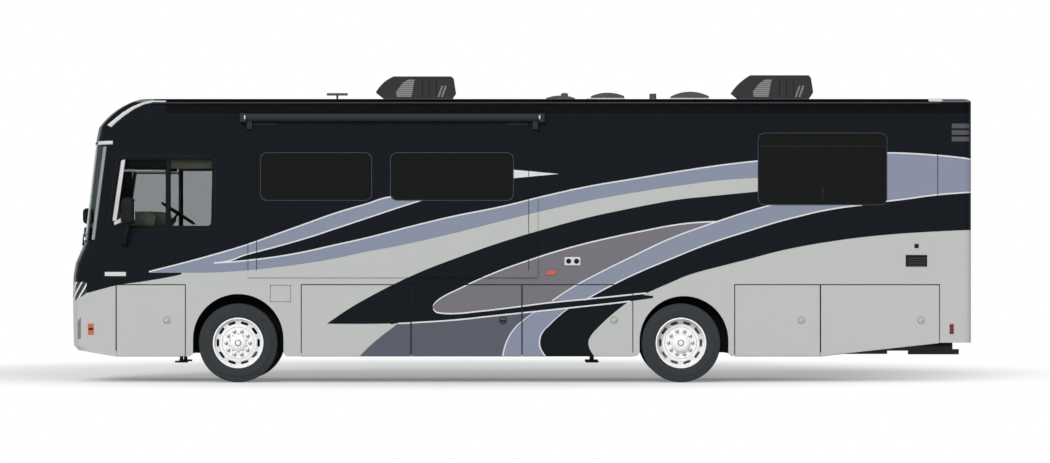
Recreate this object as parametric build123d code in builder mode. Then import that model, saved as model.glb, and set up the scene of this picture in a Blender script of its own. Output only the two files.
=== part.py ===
from build123d import *
import math
import os

# A class A motorhome. X runs from nose (-X) to tail (+X), the driver sits on the -Y side,
# Z is up from the ground. Lengths are in millimetres.

# ---------------------------------------------------------------- driving dimensions
tail_x = 5400.0
nose_x = -5400.0
half_width = 1289.0
wall = 40.0
skirt_thickness = 28.0
seat_gap = 0.3
door_gap = 6.0

skirt_bottom_z = 312.0
wall_bottom_z = 1175.0
floor_bottom_z = wall_bottom_z
floor_top_z = 1262.0
wall_top_z = 3320.0
roof_edge_z = 3350.0
roof_crown_z = 3414.0
crown_spread = 60.0

front_seam_x = -5028.0
front_skirt_seam_x = -4820.0
rear_seam_x = 5024.0
rear_cap_bottom_z = 476.0

front_axle_x = -3359.0
rear_axle_x = 1932.0
tyre_radius = 473.0
tyre_width = 265.0
rim_radius = 302.0
front_track_half = half_width - 164.0
kingpin_half = front_track_half - 125.0
dual_outer_half = half_width - 149.0
dual_spacing = 300.0

# front cap: the brow is an arc over the windshield that runs into the roof's crown
brow_radius = 850.0
brow_center_x = -4388.0
brow_over_crown = 3.0
brow_center_z = roof_crown_z + brow_over_crown - brow_radius
brow_foot_z = 3052.0
brow_foot_x = brow_center_x - math.sqrt(brow_radius ** 2 - (brow_foot_z - brow_center_z) ** 2)
brow_rim = 65.0

# nose stations at the centreline, from the bumper's foot to the brow
nose_stations = [  # (height z, centreline x)
    (skirt_bottom_z, -5330.0),
    (383.0, -5336.0),
    (440.0, -5390.0),
    (1005.0, nose_x),
    (1268.0, -5393.0),
    (1426.0, -5366.0),
    (1663.0, -5262.0),
    (2881.0, -5120.0),
    (brow_foot_z, brow_foot_x),
]
nose_bow_radius = 8000.0
nose_corner_radius = 130.0

windshield_bottom_z = 1700.0
windshield_top_z = 2850.0
windshield_wrap = 190.0
glass_thickness = 8.0

# wheel arches: (centre x, centre z, radius)
front_arch = (-3355.0, 517.0, 541.0)
rear_arch = (1967.0, 503.0, 530.0)
arch_foot_radius = 60.0
liner_thickness = 12.0
liner_depth = 660.0

# slide-out room
slide_x0, slide_x1 = -3190.0, 162.0
slide_z0, slide_z1 = 1275.0, 3086.0
slide_depth = 930.0
slide_wall = 36.0
slide_clearance = 6.0
flange_thickness = 22.0

# windows: (x0, x1, z0, z1)
slide_windows_table = [
    (-3085.0, -1765.0, 2180.0, 2741.0),
    (-1533.0, -73.0, 2180.0, 2741.0),
]
window_corner = 75.0
rear_window = (2856.0, 4387.0, 2126.0, 2975.0)
right_windows_table = [
    (-1500.0, -300.0, 2150.0, 2740.0),
    (2856.0, 4387.0, 2126.0, 2975.0),
]
driver_window = [(-4909.0, 1836.0), (-3668.0, 1836.0), (-3617.0, 2670.0), (-4785.0, 2700.0)]

# bay doors along the skirt: (x0, x1)
left_doors_table = [
    (-4814.0, -3984.0),
    (-2605.0, -1292.0),
    (-1292.0, 33.0),
    (33.0, 1359.0),
    (2570.0, 3596.0),
    (3596.0, 5022.0),
]
# the entry door stands behind the front wheel on the right, ahead of a shorter second bay
entry_width = 780.0
entry_x0 = left_doors_table[1][0] + door_gap / 2
entry_x1 = entry_x0 + entry_width
entry_z0, entry_z1 = 420.0, 2560.0
right_doors_table = [left_doors_table[0], (entry_x1 + door_gap / 2, left_doors_table[1][1])]
right_doors_table += left_doors_table[2:]
door_top_z = 1169.0
tail_rise_x = 3596.0
tail_rise_z = 468.0

fuel_lid_box = (-2969.0, -2731.0, 968.0, 1160.0)
hatch_half, hatch_z0, hatch_z1 = 720.0, 640.0, 1560.0

# front cap details
brow_side_shift = 110.0
pillar_top_x = -4900.0
pillar_bottom_z = 1690.0
headlamp_back_x = -5165.0
headlamp_inner_y = half_width - 429.0
headlamp_z0, headlamp_z1 = 974.0, 1201.0
lamp_depth = 30.0
grille_rows, grille_z0, grille_pitch, grille_slot, grille_half = 3, 560.0, 90.0, 50.0, 620.0

# glazing and door stops
pane_set = 2.0
driver_bar_x, driver_bar = -4193.0, 26.0
entry_glass = (entry_x0 + 100.0, entry_x1 - 100.0, 1700.0, 2420.0)
handle_x0, handle_x1, handle_z0, handle_z1 = entry_x1 - 130.0, entry_x1 - 60.0, 1380.0, 1480.0
lip = 25.0

# roof edge and tail
gutter, gutter_z, gutter_height = 12.0, 3334.0, 15.0
tail_corner = 90.0
tail_top_round, tail_top_rise = 60.0, 6.0
louvre_rows, louvre_x0, louvre_x1, louvre_set = 3, 5164.0, tail_x - 18.0, 6.0
louvre_z0, louvre_pitch, louvre_height = 2880.0, 78.0, 58.0
tail_lamp_y0, tail_lamp_y1 = half_width - 279.0, half_width - 119.0
tail_lamp_z0, tail_lamp_z1 = 900.0, 1250.0
hatch_slots = 5

# bay doors, luggage tubs, arch liners, stairs
filler_depth = 90.0
latch_back, latch_radius, latch_proud = 225.0, 28.0, 4.0
tub_floor_z, tail_tub_z = 330.0, 490.0
tub_setback, tub_wall, tub_inner_y = 4.0, 12.0, 500.0
liner_low_z = 350.0
floor_front_x = -5110.0
stair_inner_y, stair_wall = half_width - 569.0, 6.0
stair_treads, stair_rise, stair_run, stair_board = 3, 280.0, 150.0, 24.0
entry_lip_y = half_width - wall - seat_gap

# slide-out flange and topper
flange_side, flange_low, flange_high = 59.0, 20.0, 23.0
flange_frame, flange_rail, face_step = 110.0, 84.0, 3.0
topper_radius, topper_out, topper_bracket, topper_arm = 46.0, 50.0, 70.0, 60.0
topper_x0, topper_x1 = -3330.0, 302.0

# entry step
step_x0, step_x1 = entry_x0 + 100.0, entry_x1 - 100.0
step_y0, step_y1 = half_width - 469.0, half_width - 49.0
step_z0, step_board = 330.0, 40.0
step_case, step_arm, step_arm_inset, step_arm_lap = 10.0, 60.0, 60.0, 60.0
step_housing_y0, step_housing_y1 = half_width - 729.0, half_width - 89.0

# chassis
axle_z = tyre_radius
rail_x0, rail_x1 = -5050.0, 5000.0
rail_inner_y, rail_outer_y, rail_web = 350.0, 430.0, 8.0
rail_z0, rail_z1 = 700.0, 940.0
cross_members = (-4950.0, -4000.0, -2500.0, -1200.0, 100.0, 1250.0, 2560.0, 4880.0)
member_width = 80.0
hitch_x0, hitch_x1, hitch_z0 = 4720.0, 5335.0, 316.0
hitch_plate, hitch_drop, hitch_hang = 120.0, 190.0, 100.0
hitch_half, hitch_bore = 32.0, 25.5
engine_x0, engine_x1, engine_half = 3350.0, 4600.0, 350.0
engine_z0, engine_z1 = 520.0, 1130.0
gearbox_length, gearbox_radius, shaft_tilt_room = 600.0, 190.0, 7.0
exhaust_x0, exhaust_x1, tailpipe_x1 = 3700.0, 4500.0, 5300.0
exhaust_y, exhaust_radius, tailpipe_radius = 640.0, 90.0, 50.0
exhaust_z = tail_tub_z - exhaust_radius - seat_gap

# axles and suspension
beam_z, beam_radius, beam_end_y = tyre_radius, 50.0, kingpin_half
pin_z0, pin_z1, kingpin_radius = 350.0, 600.0, 20.0
eye_z0, eye_z1, eye_radius, ear_gap = 410.0, 540.0, 42.0, 4.0
plate_in, plate_out = 50.0, 80.0
spindle_radius, spindle_out = 38.0, 100.0
spring_y, spring_pad_z, air_spring_radius = 390.0, 560.0, 120.0
rear_tube_y, rear_spindle_y = dual_outer_half - 450.0, dual_outer_half + 10.0
rear_tube_radius, diff_radius = 65.0, 210.0
jack_xs = (-4076.0, 878.0)
jack_y, jack_radius, jack_z0, jack_z1 = 465.0, 32.0, 400.0, 900.0
jack_leg_radius, jack_foot_z, jack_foot_radius = 22.0, 225.0, 80.0

# tyres and steel wheels
tyre_bore = rim_radius + seat_gap
tyre_bulge, tread_inset, bead_inset = 392.0, 20.0, 24.0
barrel_wall, barrel_half = 16.0, 112.0
cap_proud, cap_taper = 16.0, 22.0
disc_thickness, disc_dish, disc_step, hub_radius = 12.0, 60.0, 215.0, 95.0
front_face_a, rear_face_a = 95.0, -30.0
rear_hub_a0, rear_hub_a1 = -165.0, 20.0
lug_circle, lug_count, lug_radius, lug_height = 142.875, 10, 19.0, 30.0
slot_circle, slot_count, slot_length, slot_width = 243.0, 10, 93.0, 30.0

# cab
steering_center = (-4110.0, -620.0, 2025.0)
steering_radius, steering_grip = 225.0, 15.0
column_lean, column_length, column_radius, shaft_radius = 33.0, 850.0, 30.0, 15.0
dash_front_x, dash_half, dash_split_y = -5110.0, half_width - 99.0, 250.0
dash_points = [
    (dash_front_x, floor_top_z), (dash_front_x, 1690.0), (-4960.0, 1960.0), (-4700.0, 2040.0),
    (-4400.0, 2046.0), (-4340.0, 1990.0), (-4400.0, 1780.0), (-4500.0, floor_top_z),
]
dash_short_points = [
    (dash_front_x, floor_top_z), (dash_front_x, 1690.0), (-4940.0, 1860.0), (-4640.0, 1900.0),
    (-4560.0, 1840.0), (-4600.0, floor_top_z),
]
seat_z = 1560.0
seat_places = [(-3760.0, -620.0), (-3700.0, 560.0)]

# roof equipment: air units (front tip x, rear tip x, top z)
air_units = [
    (-1735.0, -770.0, 3682.0),
    (2574.0, 3554.0, 3696.0),
]
air_half, air_base_z = 340.0, 3380.0
air_foot_z, air_tip_z, air_corner_z = 3413.0, 3488.0, 3660.0
air_foot_front, air_foot_rear = 96.0, 50.0
air_bow_run, air_bow_z, air_top_run, air_top_back = 114.0, 3623.0, 217.0, 54.0
roof_domes = [  # (front x, rear x, half width, shoulder z, top z)
    (324.0, 676.0, 140.0, 3425.0, 3456.0),
    (506.0, 591.0, 60.0, 3480.0, 3489.0),
    (870.0, 1271.0, 200.0, 3448.0, 3489.0),
    (1838.0, 2296.0, 230.0, 3445.0, 3500.0),
]
antenna_x, antenna_z = -2210.0, 3459.0
roof_rounds = [  # (centre x, radius, top z)
    (1621.0, 42.0, 3481.0),
    (antenna_x, 12.0, 3470.0),
]
awning_x0, awning_x1, awning_z = -3500.0, 2600.0, 3150.0
awning_out, awning_radius, awning_arm = 70.0, 50.0, 1300.0

# mirrors: (side, head box in X and Z, foot)
mirror_table = [
    (-1, (-4740.0, -4575.0, 1890.0, 2210.0), (-4707.0, 1660.0)),
    (1, (-5395.0, -5270.0, 1700.0, 2100.0), (-5050.0, 1600.0)),
]
mirror_gap, mirror_depth = 60.0, 191.0
mirror_corner = 0.2 * mirror_depth
mirror_arm_radius, mirror_foot_radius = 24.0, 45.0

# small fittings on the driver's side: (front x, rear x, low z, high z, proud)
fittings_table = [
    (542.0, 730.0, 1401.0, 1500.0, 10.0),
    (320.0, 439.0, 1287.0, 1337.0, 14.0),
    (4547.0, 4941.0, 1290.0, 1703.0, 3.0),
    (4615.0, 4870.0, 1385.0, 1524.0, 8.0),
    (4720.0, 4768.0, 1607.0, 1655.0, 10.0),
    (-4946.0, -4695.0, 1273.0, 1321.0, 20.0),
    (-5149.0, -5082.0, 574.0, 704.0, 8.0),
    (5138.0, 5188.0, 580.0, 700.0, 8.0),
]

os.makedirs("parts", exist_ok=True)


# ---------------------------------------------------------------- helpers
def block(x0, x1, y0, y1, z0, z1, mode=Mode.ADD):
    """A box between two corners."""
    with Locations(((x0 + x1) / 2, (y0 + y1) / 2, (z0 + z1) / 2)):
        Box(abs(x1 - x0), abs(y1 - y0), abs(z1 - z0), mode=mode)


def slab(points, y_from, y_to, mode=Mode.ADD):
    """A plate with an outline in X and Z, between two values of Y."""
    with BuildSketch(Plane.XZ.offset(-y_from)) as face:
        with BuildLine():
            Polyline(*points, close=True)
        make_face()
    extrude(face.sketch, amount=y_from - y_to, mode=mode)


def rounded_slab(x0, x1, z0, z1, radius, y_from, y_to, mode=Mode.ADD):
    """A plate with rounded corners, between two values of Y."""
    with BuildSketch(Plane.XZ.offset(-y_from)) as face:
        with Locations(((x0 + x1) / 2, (z0 + z1) / 2)):
            RectangleRounded(x1 - x0, z1 - z0, radius)
    extrude(face.sketch, amount=y_from - y_to, mode=mode)


def rod(start, end, radius, mode=Mode.ADD):
    """A round bar between two points."""
    run = Vector(*end) - Vector(*start)
    with BuildSketch(Plane(origin=start, z_dir=run)) as face:
        Circle(radius)
    extrude(face.sketch, amount=run.length, mode=mode)


def save(piece, name):
    """Label a finished piece and write its STEP file."""
    piece.part.label = name
    export_step(piece.part, "parts/" + name + ".step")


def plan_points(front_x, half, corner, bow):
    """Tangent points of a bowed nose in plan: side, corner middle, front start, front middle."""
    center_x = front_x + bow
    corner_x = center_x - math.sqrt((bow - corner) ** 2 - (half - corner) ** 2)
    corner_y = half - corner
    away = Vector(corner_x - center_x, corner_y, 0).normalized()
    on_front = Vector(center_x, 0, 0) + away * bow
    middle = (away + Vector(0, 1, 0)).normalized()
    on_corner = Vector(corner_x, corner_y, 0) + middle * corner
    return corner_x, on_corner, on_front


def nose_section(z, front_x, inset):
    """The plan outline of the nose at one height, as a face."""
    half = half_width - inset
    corner_x, on_corner, on_front = plan_points(
        front_x + inset, half, nose_corner_radius - inset, nose_bow_radius - inset
    )
    back_x = brow_center_x
    with BuildSketch(Plane.XY.offset(z)) as section:
        with BuildLine():
            Line((back_x, -half), (corner_x, -half))
            ThreePointArc((corner_x, -half), (on_corner.X, -on_corner.Y), (on_front.X, -on_front.Y))
            ThreePointArc((on_front.X, -on_front.Y), (front_x + inset, 0), (on_front.X, on_front.Y))
            ThreePointArc((on_front.X, on_front.Y), (on_corner.X, on_corner.Y), (corner_x, half))
            Line((corner_x, half), (back_x, half))
            Line((back_x, half), (back_x, -half))
        make_face()
    return section.sketch


def nose_body(inset):
    """The closed body inside the nose's skin, from its foot to the brow, at an inset."""
    sections = []
    for z, front_x in nose_stations:
        sections.append(nose_section(z, front_x, inset))
    with BuildPart() as lower:
        loft(sections, ruled=True)
    return lower.part


def brow_body(inset):
    """The crowned top of the nose: an arc in profile, turned about a far upright axis."""
    axis_x = brow_foot_x + nose_bow_radius
    foot_z = brow_foot_z
    radius = brow_radius - inset
    top_z = brow_center_z + radius
    rise = foot_z - brow_center_z
    foot_x = brow_center_x - math.sqrt(radius ** 2 - rise ** 2)
    arc_turn = (math.atan2(rise, foot_x - brow_center_x) + math.pi / 2) / 2
    middle = (brow_center_x + radius * math.cos(arc_turn), brow_center_z + radius * math.sin(arc_turn))
    with BuildPart() as top:
        with BuildSketch(Plane.XZ):
            with BuildLine():
                Line((brow_center_x + 200, foot_z), (foot_x, foot_z))
                ThreePointArc((foot_x, foot_z), middle, (brow_center_x, top_z))
                Line((brow_center_x, top_z), (brow_center_x + 200, top_z))
                Line((brow_center_x + 200, top_z), (brow_center_x + 200, foot_z))
            make_face()
        revolve(axis=Axis((axis_x, 0, 0), (0, 0, 1)), revolution_arc=24)
    return top.part.rotate(Axis((axis_x, 0, 0), (0, 0, 1)), -12)


def crown_body(inset, spread=0.0):
    """The long body below the crowned roof, at an inset from its skin; spread widens it past the sides."""
    half = half_width - inset
    edge_z = roof_edge_z - inset
    crown_z = roof_crown_z - inset
    rise = crown_z - edge_z
    crown_radius = (half ** 2 + rise ** 2) / (2 * rise)
    wide = half + spread
    wide_z = crown_z - crown_radius + math.sqrt(crown_radius ** 2 - wide ** 2)
    with BuildPart() as long_body:
        with BuildSketch(Plane.YZ.offset(nose_x - 100)):
            with BuildLine():
                Line((-wide, 100), (wide, 100))
                Line((wide, 100), (wide, wide_z))
                ThreePointArc((wide, wide_z), (0, crown_z), (-wide, wide_z))
                Line((-wide, wide_z), (-wide, 100))
            make_face()
        extrude(amount=tail_x - nose_x + 200)
    return long_body.part


def cut_nose(inset):
    """Nose and brow together, inset from the skin: everything ahead of the roof."""
    body = nose_body(inset)
    plan = extrude(nose_section(brow_foot_z, brow_foot_x, inset), amount=500)
    crest = brow_body(inset) & crown_body(inset, crown_spread) & plan
    return body + crest


def cap_region(clear, low_z):
    """Side outline of everything that the front cap covers, drawn back by a clearance."""
    rim = brow_radius - brow_rim + clear
    rim_x = brow_center_x + brow_side_shift
    pillar_z = brow_center_z + math.sqrt(rim ** 2 - (pillar_top_x - clear - rim_x) ** 2)
    crest_x = rim_x - math.sqrt(rim ** 2 - (wall_top_z + clear - brow_center_z) ** 2)
    turn = (math.atan2(pillar_z - brow_center_z, pillar_top_x - clear - rim_x)
            + math.atan2(wall_top_z + clear - brow_center_z, crest_x - rim_x)) / 2
    middle = (rim_x + rim * math.cos(turn), brow_center_z + rim * math.sin(turn))
    with BuildSketch(Plane.XZ.offset(-half_width - 50)) as region:
        with BuildLine():
            Polyline(
                (brow_center_x, wall_top_z + clear),
                (brow_center_x, roof_crown_z + 200),
                (nose_x - 200, roof_crown_z + 200),
                (nose_x - 200, low_z + 71),
                (nose_x + 160, low_z + 71),
                (front_skirt_seam_x - 10, low_z),
                (front_skirt_seam_x, low_z),
                (front_skirt_seam_x, wall_bottom_z),
                (front_seam_x - clear, wall_bottom_z),
                (front_seam_x - clear, pillar_bottom_z),
                (pillar_top_x - clear, windshield_top_z),
                (pillar_top_x - clear, pillar_z),
            )
            ThreePointArc((pillar_top_x - clear, pillar_z), middle, (crest_x, wall_top_z + clear))
            Line((crest_x, wall_top_z + clear), (brow_center_x, wall_top_z + clear))
        make_face()
    return extrude(region.sketch, amount=2 * half_width + 100)


def glass_region(clear):
    """Side outline of the windshield's opening, drawn in by a clearance."""
    sill_lo, sill_hi = nose_stations[-3], nose_stations[-2]
    slope = (sill_hi[1] - sill_lo[1]) / (sill_hi[0] - sill_lo[0])
    low_z = windshield_bottom_z + clear
    high_z = windshield_top_z - clear
    low_x = sill_lo[1] + slope * (low_z - sill_lo[0]) + windshield_wrap - clear
    high_x = sill_lo[1] + slope * (high_z - sill_lo[0]) + windshield_wrap - clear
    with BuildPart() as region:
        slab(
            [(nose_x - 100, low_z), (low_x, low_z), (high_x, high_z), (nose_x - 100, high_z)],
            -half_width - 10, half_width + 10,
        )
    return region.part


def lamp_region(side, clear):
    """The corner box that holds one headlamp."""
    with BuildPart() as region:
        block(
            nose_x - 20, headlamp_back_x - clear,
            side * (headlamp_inner_y + clear), side * (half_width + 20),
            headlamp_z0 + clear, headlamp_z1 - clear,
        )
    return region.part


# ---------------------------------------------------------------- front cap and windshield
nose_outer = cut_nose(0)
nose_inner = cut_nose(wall)
nose_skin = (nose_outer - nose_inner) & cap_region(0, skirt_bottom_z)
lamp_skin = nose_outer - cut_nose(lamp_depth)

with BuildPart() as front_cap:
    add(nose_skin)
    add(glass_region(0), mode=Mode.SUBTRACT)
    for side in (-1, 1):
        add(lamp_region(side, 0), mode=Mode.SUBTRACT)
    for row in range(grille_rows):
        slot_z = grille_z0 + row * grille_pitch
        block(nose_x - 20, nose_x + 200, -grille_half, grille_half, slot_z, slot_z + grille_slot,
              mode=Mode.SUBTRACT)
save(front_cap, "front_cap")

glass_skin = nose_body(pane_set) - nose_body(pane_set + glass_thickness)
with BuildPart() as windshield:
    add(glass_skin & glass_region(seat_gap))
save(windshield, "windshield")

# ---------------------------------------------------------------- side walls
def wall_body(side):
    """One flat side wall, from the front cap's seam to the rear cap."""
    y_out = side * half_width
    y_in = side * (half_width - wall)
    with BuildPart() as panel:
        block(front_seam_x, rear_seam_x, y_in, y_out, wall_bottom_z, wall_top_z)
        add(cap_region(0, skirt_bottom_z), mode=Mode.SUBTRACT)
    return panel.part


def window_hole(x0, x1, z0, z1, side):
    """Cut one window with rounded corners through a side wall."""
    rounded_slab(x0, x1, z0, z1, window_corner, side * (half_width + 5),
                 side * (half_width - wall - 5), mode=Mode.SUBTRACT)


def window_pane(x0, x1, z0, z1, side, y_face):
    """One pane that fills a window's hole, just inside the wall's face."""
    rounded_slab(x0 + seat_gap, x1 - seat_gap, z0 + seat_gap, z1 - seat_gap,
                 window_corner - seat_gap, side * (y_face - pane_set),
                 side * (y_face - pane_set - glass_thickness))


def driver_outline(clear, front):
    """Half of the driver's window, ahead of or behind its upright bar."""
    low_front, low_back, high_back, high_front = driver_window
    bar0 = driver_bar_x - driver_bar / 2
    bar1 = driver_bar_x + driver_bar / 2
    if front:
        return [
            (low_front[0] + 60 + clear, low_front[1] + clear),
            (bar0 - clear, low_front[1] + clear),
            (bar0 - clear, high_front[1] - clear),
            (high_front[0] + 50, high_front[1] - clear),
            (high_front[0] + clear, high_front[1] - 60),
            (low_front[0] + clear, low_front[1] + 80),
        ]
    return [
        (bar1 + clear, low_back[1] + clear),
        (low_back[0] - 50, low_back[1] + clear),
        (low_back[0] - clear, low_back[1] + 50),
        (high_back[0] - clear, high_back[1] - 50),
        (high_back[0] - 40 - clear, high_back[1] - clear),
        (bar1 + clear, high_front[1] - clear),
    ]


with BuildPart() as left_wall:
    add(wall_body(-1))
    for front in (True, False):
        slab(driver_outline(0, front), -half_width - 5, -half_width + wall + 5, mode=Mode.SUBTRACT)
    block(slide_x0 - slide_clearance, slide_x1 + slide_clearance, -half_width - 5,
          -half_width + wall + 5, slide_z0 - slide_clearance, slide_z1 + slide_clearance,
          mode=Mode.SUBTRACT)
    window_hole(*rear_window, -1)
save(left_wall, "left_wall")

with BuildPart() as right_wall:
    add(wall_body(1))
    for front in (True, False):
        slab(driver_outline(0, front), half_width - wall - 5, half_width + 5, mode=Mode.SUBTRACT)
    block(entry_x0 - door_gap, entry_x1 + door_gap, half_width - wall - 5, half_width + 5,
          wall_bottom_z - 5, entry_z1 + door_gap, mode=Mode.SUBTRACT)
    for window in right_windows_table:
        window_hole(*window, 1)
    lip_y1 = half_width - wall - seat_gap
    block(entry_x0 - door_gap - lip, entry_x1 + door_gap + lip, lip_y1 - lip, half_width - wall,
          floor_top_z + seat_gap, entry_z1 + door_gap + lip)
    block(entry_x0 + lip, entry_x1 - lip, lip_y1 - lip - 5, half_width - wall + 5,
          wall_bottom_z - 5, entry_z1 - lip, mode=Mode.SUBTRACT)
    block(entry_x0 - door_gap, entry_x1 + door_gap, lip_y1, half_width - wall + 5,
          wall_bottom_z - 5, entry_z1 + door_gap, mode=Mode.SUBTRACT)
save(right_wall, "right_wall")

with BuildPart() as side_windows:
    pane_y = half_width - pane_set
    for front in (True, False):
        slab(driver_outline(seat_gap, front), -pane_y, -pane_y + glass_thickness)
        slab(driver_outline(seat_gap, front), pane_y - glass_thickness, pane_y)
    window_pane(*rear_window, -1, half_width)
    for window in right_windows_table:
        window_pane(*window, 1, half_width)
save(side_windows, "side_windows")

# ---------------------------------------------------------------- roof and rear cap
with BuildPart() as roof:
    add(crown_body(0))
    block(brow_center_x, rear_seam_x, -half_width - 1, half_width + 1, wall_top_z, roof_crown_z + 10,
          mode=Mode.INTERSECT)
    for side in (-1, 1):
        block(brow_center_x, rear_seam_x, side * (half_width - 1), side * (half_width + gutter),
              gutter_z, gutter_z + gutter_height)
save(roof, "roof")


def tail_outline(inset):
    """Plan of the rear cap with rounded back corners, and its side outline with a round top."""
    half = half_width - inset
    back = tail_x - inset
    corner = tail_corner - inset
    top = roof_crown_z + tail_top_rise - inset
    with BuildPart() as upright:
        with BuildSketch(Plane.XY.offset(rear_cap_bottom_z - 1)):
            with BuildLine():
                Polyline((back - corner, -half), (rear_seam_x, -half), (rear_seam_x, half),
                         (back - corner, half))
                RadiusArc((back - corner, half), (back, half - corner), corner)
                Line((back, half - corner), (back, corner - half))
                RadiusArc((back, corner - half), (back - corner, -half), corner)
            make_face()
        extrude(amount=3200)
    with BuildPart() as profile:
        with BuildSketch(Plane.XZ.offset(-half_width - 10)):
            with BuildLine():
                Polyline((back - tail_top_round, top), (rear_seam_x, top), (rear_seam_x, rear_cap_bottom_z),
                         (back, rear_cap_bottom_z), (back, top - tail_top_round))
                RadiusArc((back, top - tail_top_round), (back - tail_top_round, top), -tail_top_round)
            make_face()
        extrude(amount=2 * half_width + 20)
    return upright.part & profile.part & crown_body(inset, crown_spread)


with BuildPart() as rear_cap:
    add(tail_outline(0))
    add(tail_outline(wall), mode=Mode.SUBTRACT)
    block(tail_x - wall - 5, tail_x + 5, -hatch_half - door_gap, hatch_half + door_gap,
          hatch_z0 - door_gap, hatch_z1 + door_gap, mode=Mode.SUBTRACT)
    lip_x = tail_x - skirt_thickness - seat_gap
    block(lip_x - lip, lip_x, -hatch_half - door_gap - 1, hatch_half + door_gap + 1,
          hatch_z0 - door_gap - 1, hatch_z1 + door_gap + 1)
    block(lip_x - lip - 5, lip_x + 5, -hatch_half + lip, hatch_half - lip,
          hatch_z0 + lip, hatch_z1 - lip, mode=Mode.SUBTRACT)
    for side in (-1, 1):
        for row in range(louvre_rows):
            slot_z = louvre_z0 + row * louvre_pitch
            block(louvre_x0, louvre_x1, side * (half_width - 2 * tail_corner), side * (half_width + 5),
                  slot_z, slot_z + louvre_height, mode=Mode.SUBTRACT)
        block(tail_x - wall - 5, tail_x + 5, side * tail_lamp_y0, side * tail_lamp_y1,
              tail_lamp_z0, tail_lamp_z1, mode=Mode.SUBTRACT)
save(rear_cap, "rear_cap")

with BuildPart() as engine_hatch:
    block(tail_x - skirt_thickness, tail_x, -hatch_half, hatch_half, hatch_z0, hatch_z1)
    for row in range(hatch_slots):
        slot_z = hatch_z0 + 260 + row * 70
        block(tail_x - skirt_thickness - 5, tail_x + 5, -hatch_half + 160, hatch_half - 160,
              slot_z, slot_z + 26, mode=Mode.SUBTRACT)
save(engine_hatch, "engine_hatch")

# ---------------------------------------------------------------- lower side: skirts, doors, tubs
def arch_hole(arch, y_from, y_to, grow=0.0):
    """Cut a wheel arch: a half round over straight sides."""
    center_x, center_z, radius = arch
    with BuildSketch(Plane.XZ.offset(-y_from)) as face:
        with Locations((center_x, center_z)):
            Circle(radius + grow)
        with Locations((center_x, center_z / 2)):
            Rectangle(2 * (radius + grow), center_z)
    extrude(face.sketch, amount=y_from - y_to, mode=Mode.SUBTRACT)


skirt_spans = [  # (front x, rear x, arch) of the fixed panels over the wheels
    (left_doors_table[0][1] + door_gap / 2, left_doors_table[1][0] - door_gap / 2, front_arch),
    (left_doors_table[3][1] + door_gap / 2, left_doors_table[4][0] - door_gap / 2, rear_arch),
]

with BuildPart() as skirt_panels:
    for side in (-1, 1):
        y_out = side * half_width
        y_in = side * (half_width - skirt_thickness)
        for x0, x1, arch in skirt_spans:
            with BuildPart(mode=Mode.PRIVATE) as panel:
                block(x0, x1, y_in, y_out, skirt_bottom_z, wall_bottom_z - seat_gap)
                arch_hole(arch, -half_width - 5, half_width + 5)
                feet = [edge for edge in panel.edges().filter_by(Axis.Y)
                        if abs(edge.center().Z - skirt_bottom_z) < 1
                        and abs(abs(edge.center().X - arch[0]) - arch[2]) < 1]
                fillet(feet, arch_foot_radius)
                if side == -1 and arch is front_arch:
                    lid_x0, lid_x1, lid_z0, lid_z1 = fuel_lid_box
                    block(lid_x0 - lip, lid_x1 + lip, y_in, y_in + filler_depth,
                          lid_z0 - lip, wall_bottom_z - 1)
                    block(lid_x0 - door_gap, lid_x1 + door_gap, y_in + seat_gap, y_out - 5,
                          lid_z0 - door_gap, lid_z1 + door_gap, mode=Mode.SUBTRACT)
                    block(lid_x0 + lip, lid_x1 - lip, y_in - 5, y_in + filler_depth - tub_wall,
                          lid_z0 + lip, lid_z1 - lip, mode=Mode.SUBTRACT)
            add(panel.part)
save(skirt_panels, "skirt_panels")


def door_points(x0, x1):
    """Side outline of one bay door; the last doors rise with the tail's underside."""
    def sill(x):
        if x <= tail_rise_x:
            return skirt_bottom_z
        share = (x - tail_rise_x) / (rear_seam_x - tail_rise_x)
        return skirt_bottom_z + share * (tail_rise_z - skirt_bottom_z)
    left = x0 + door_gap / 2
    right = x1 - door_gap / 2
    return [(left, sill(left)), (right, sill(right)), (right, door_top_z), (left, door_top_z)]


def bay_door(x0, x1, side):
    """One bay door with its latch near the rear edge."""
    latch_z = 0.5 * (skirt_bottom_z + wall_bottom_z)
    latch_x = x1 - latch_back
    with BuildPart() as door:
        slab(door_points(x0, x1), side * half_width, side * (half_width - skirt_thickness))
        with Locations(Plane.XZ.offset(-side * half_width) * Location((latch_x, latch_z, 0))):
            Cylinder(latch_radius, 2 * latch_proud)
    return door


for number, (x0, x1) in enumerate(left_doors_table, start=1):
    left_bay_door = bay_door(x0, x1, -1)
    save(left_bay_door, "bay_door_left_" + str(number))
for number, (x0, x1) in enumerate(right_doors_table, start=1):
    right_bay_door = bay_door(x0, x1, 1)
    save(right_bay_door, "bay_door_right_" + str(number))

with BuildPart() as fuel_lid:
    lid_x0, lid_x1, lid_z0, lid_z1 = fuel_lid_box
    rounded_slab(lid_x0, lid_x1, lid_z0, lid_z1, 12, -half_width, -half_width + skirt_thickness)
save(fuel_lid, "fuel_lid")

tub_groups = [  # (doors of one side, bottom z)
    ((0,), tub_floor_z),
    ((1, 2, 3), tub_floor_z),
    ((4,), tub_floor_z),
    ((5,), tail_tub_z),
]

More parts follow.
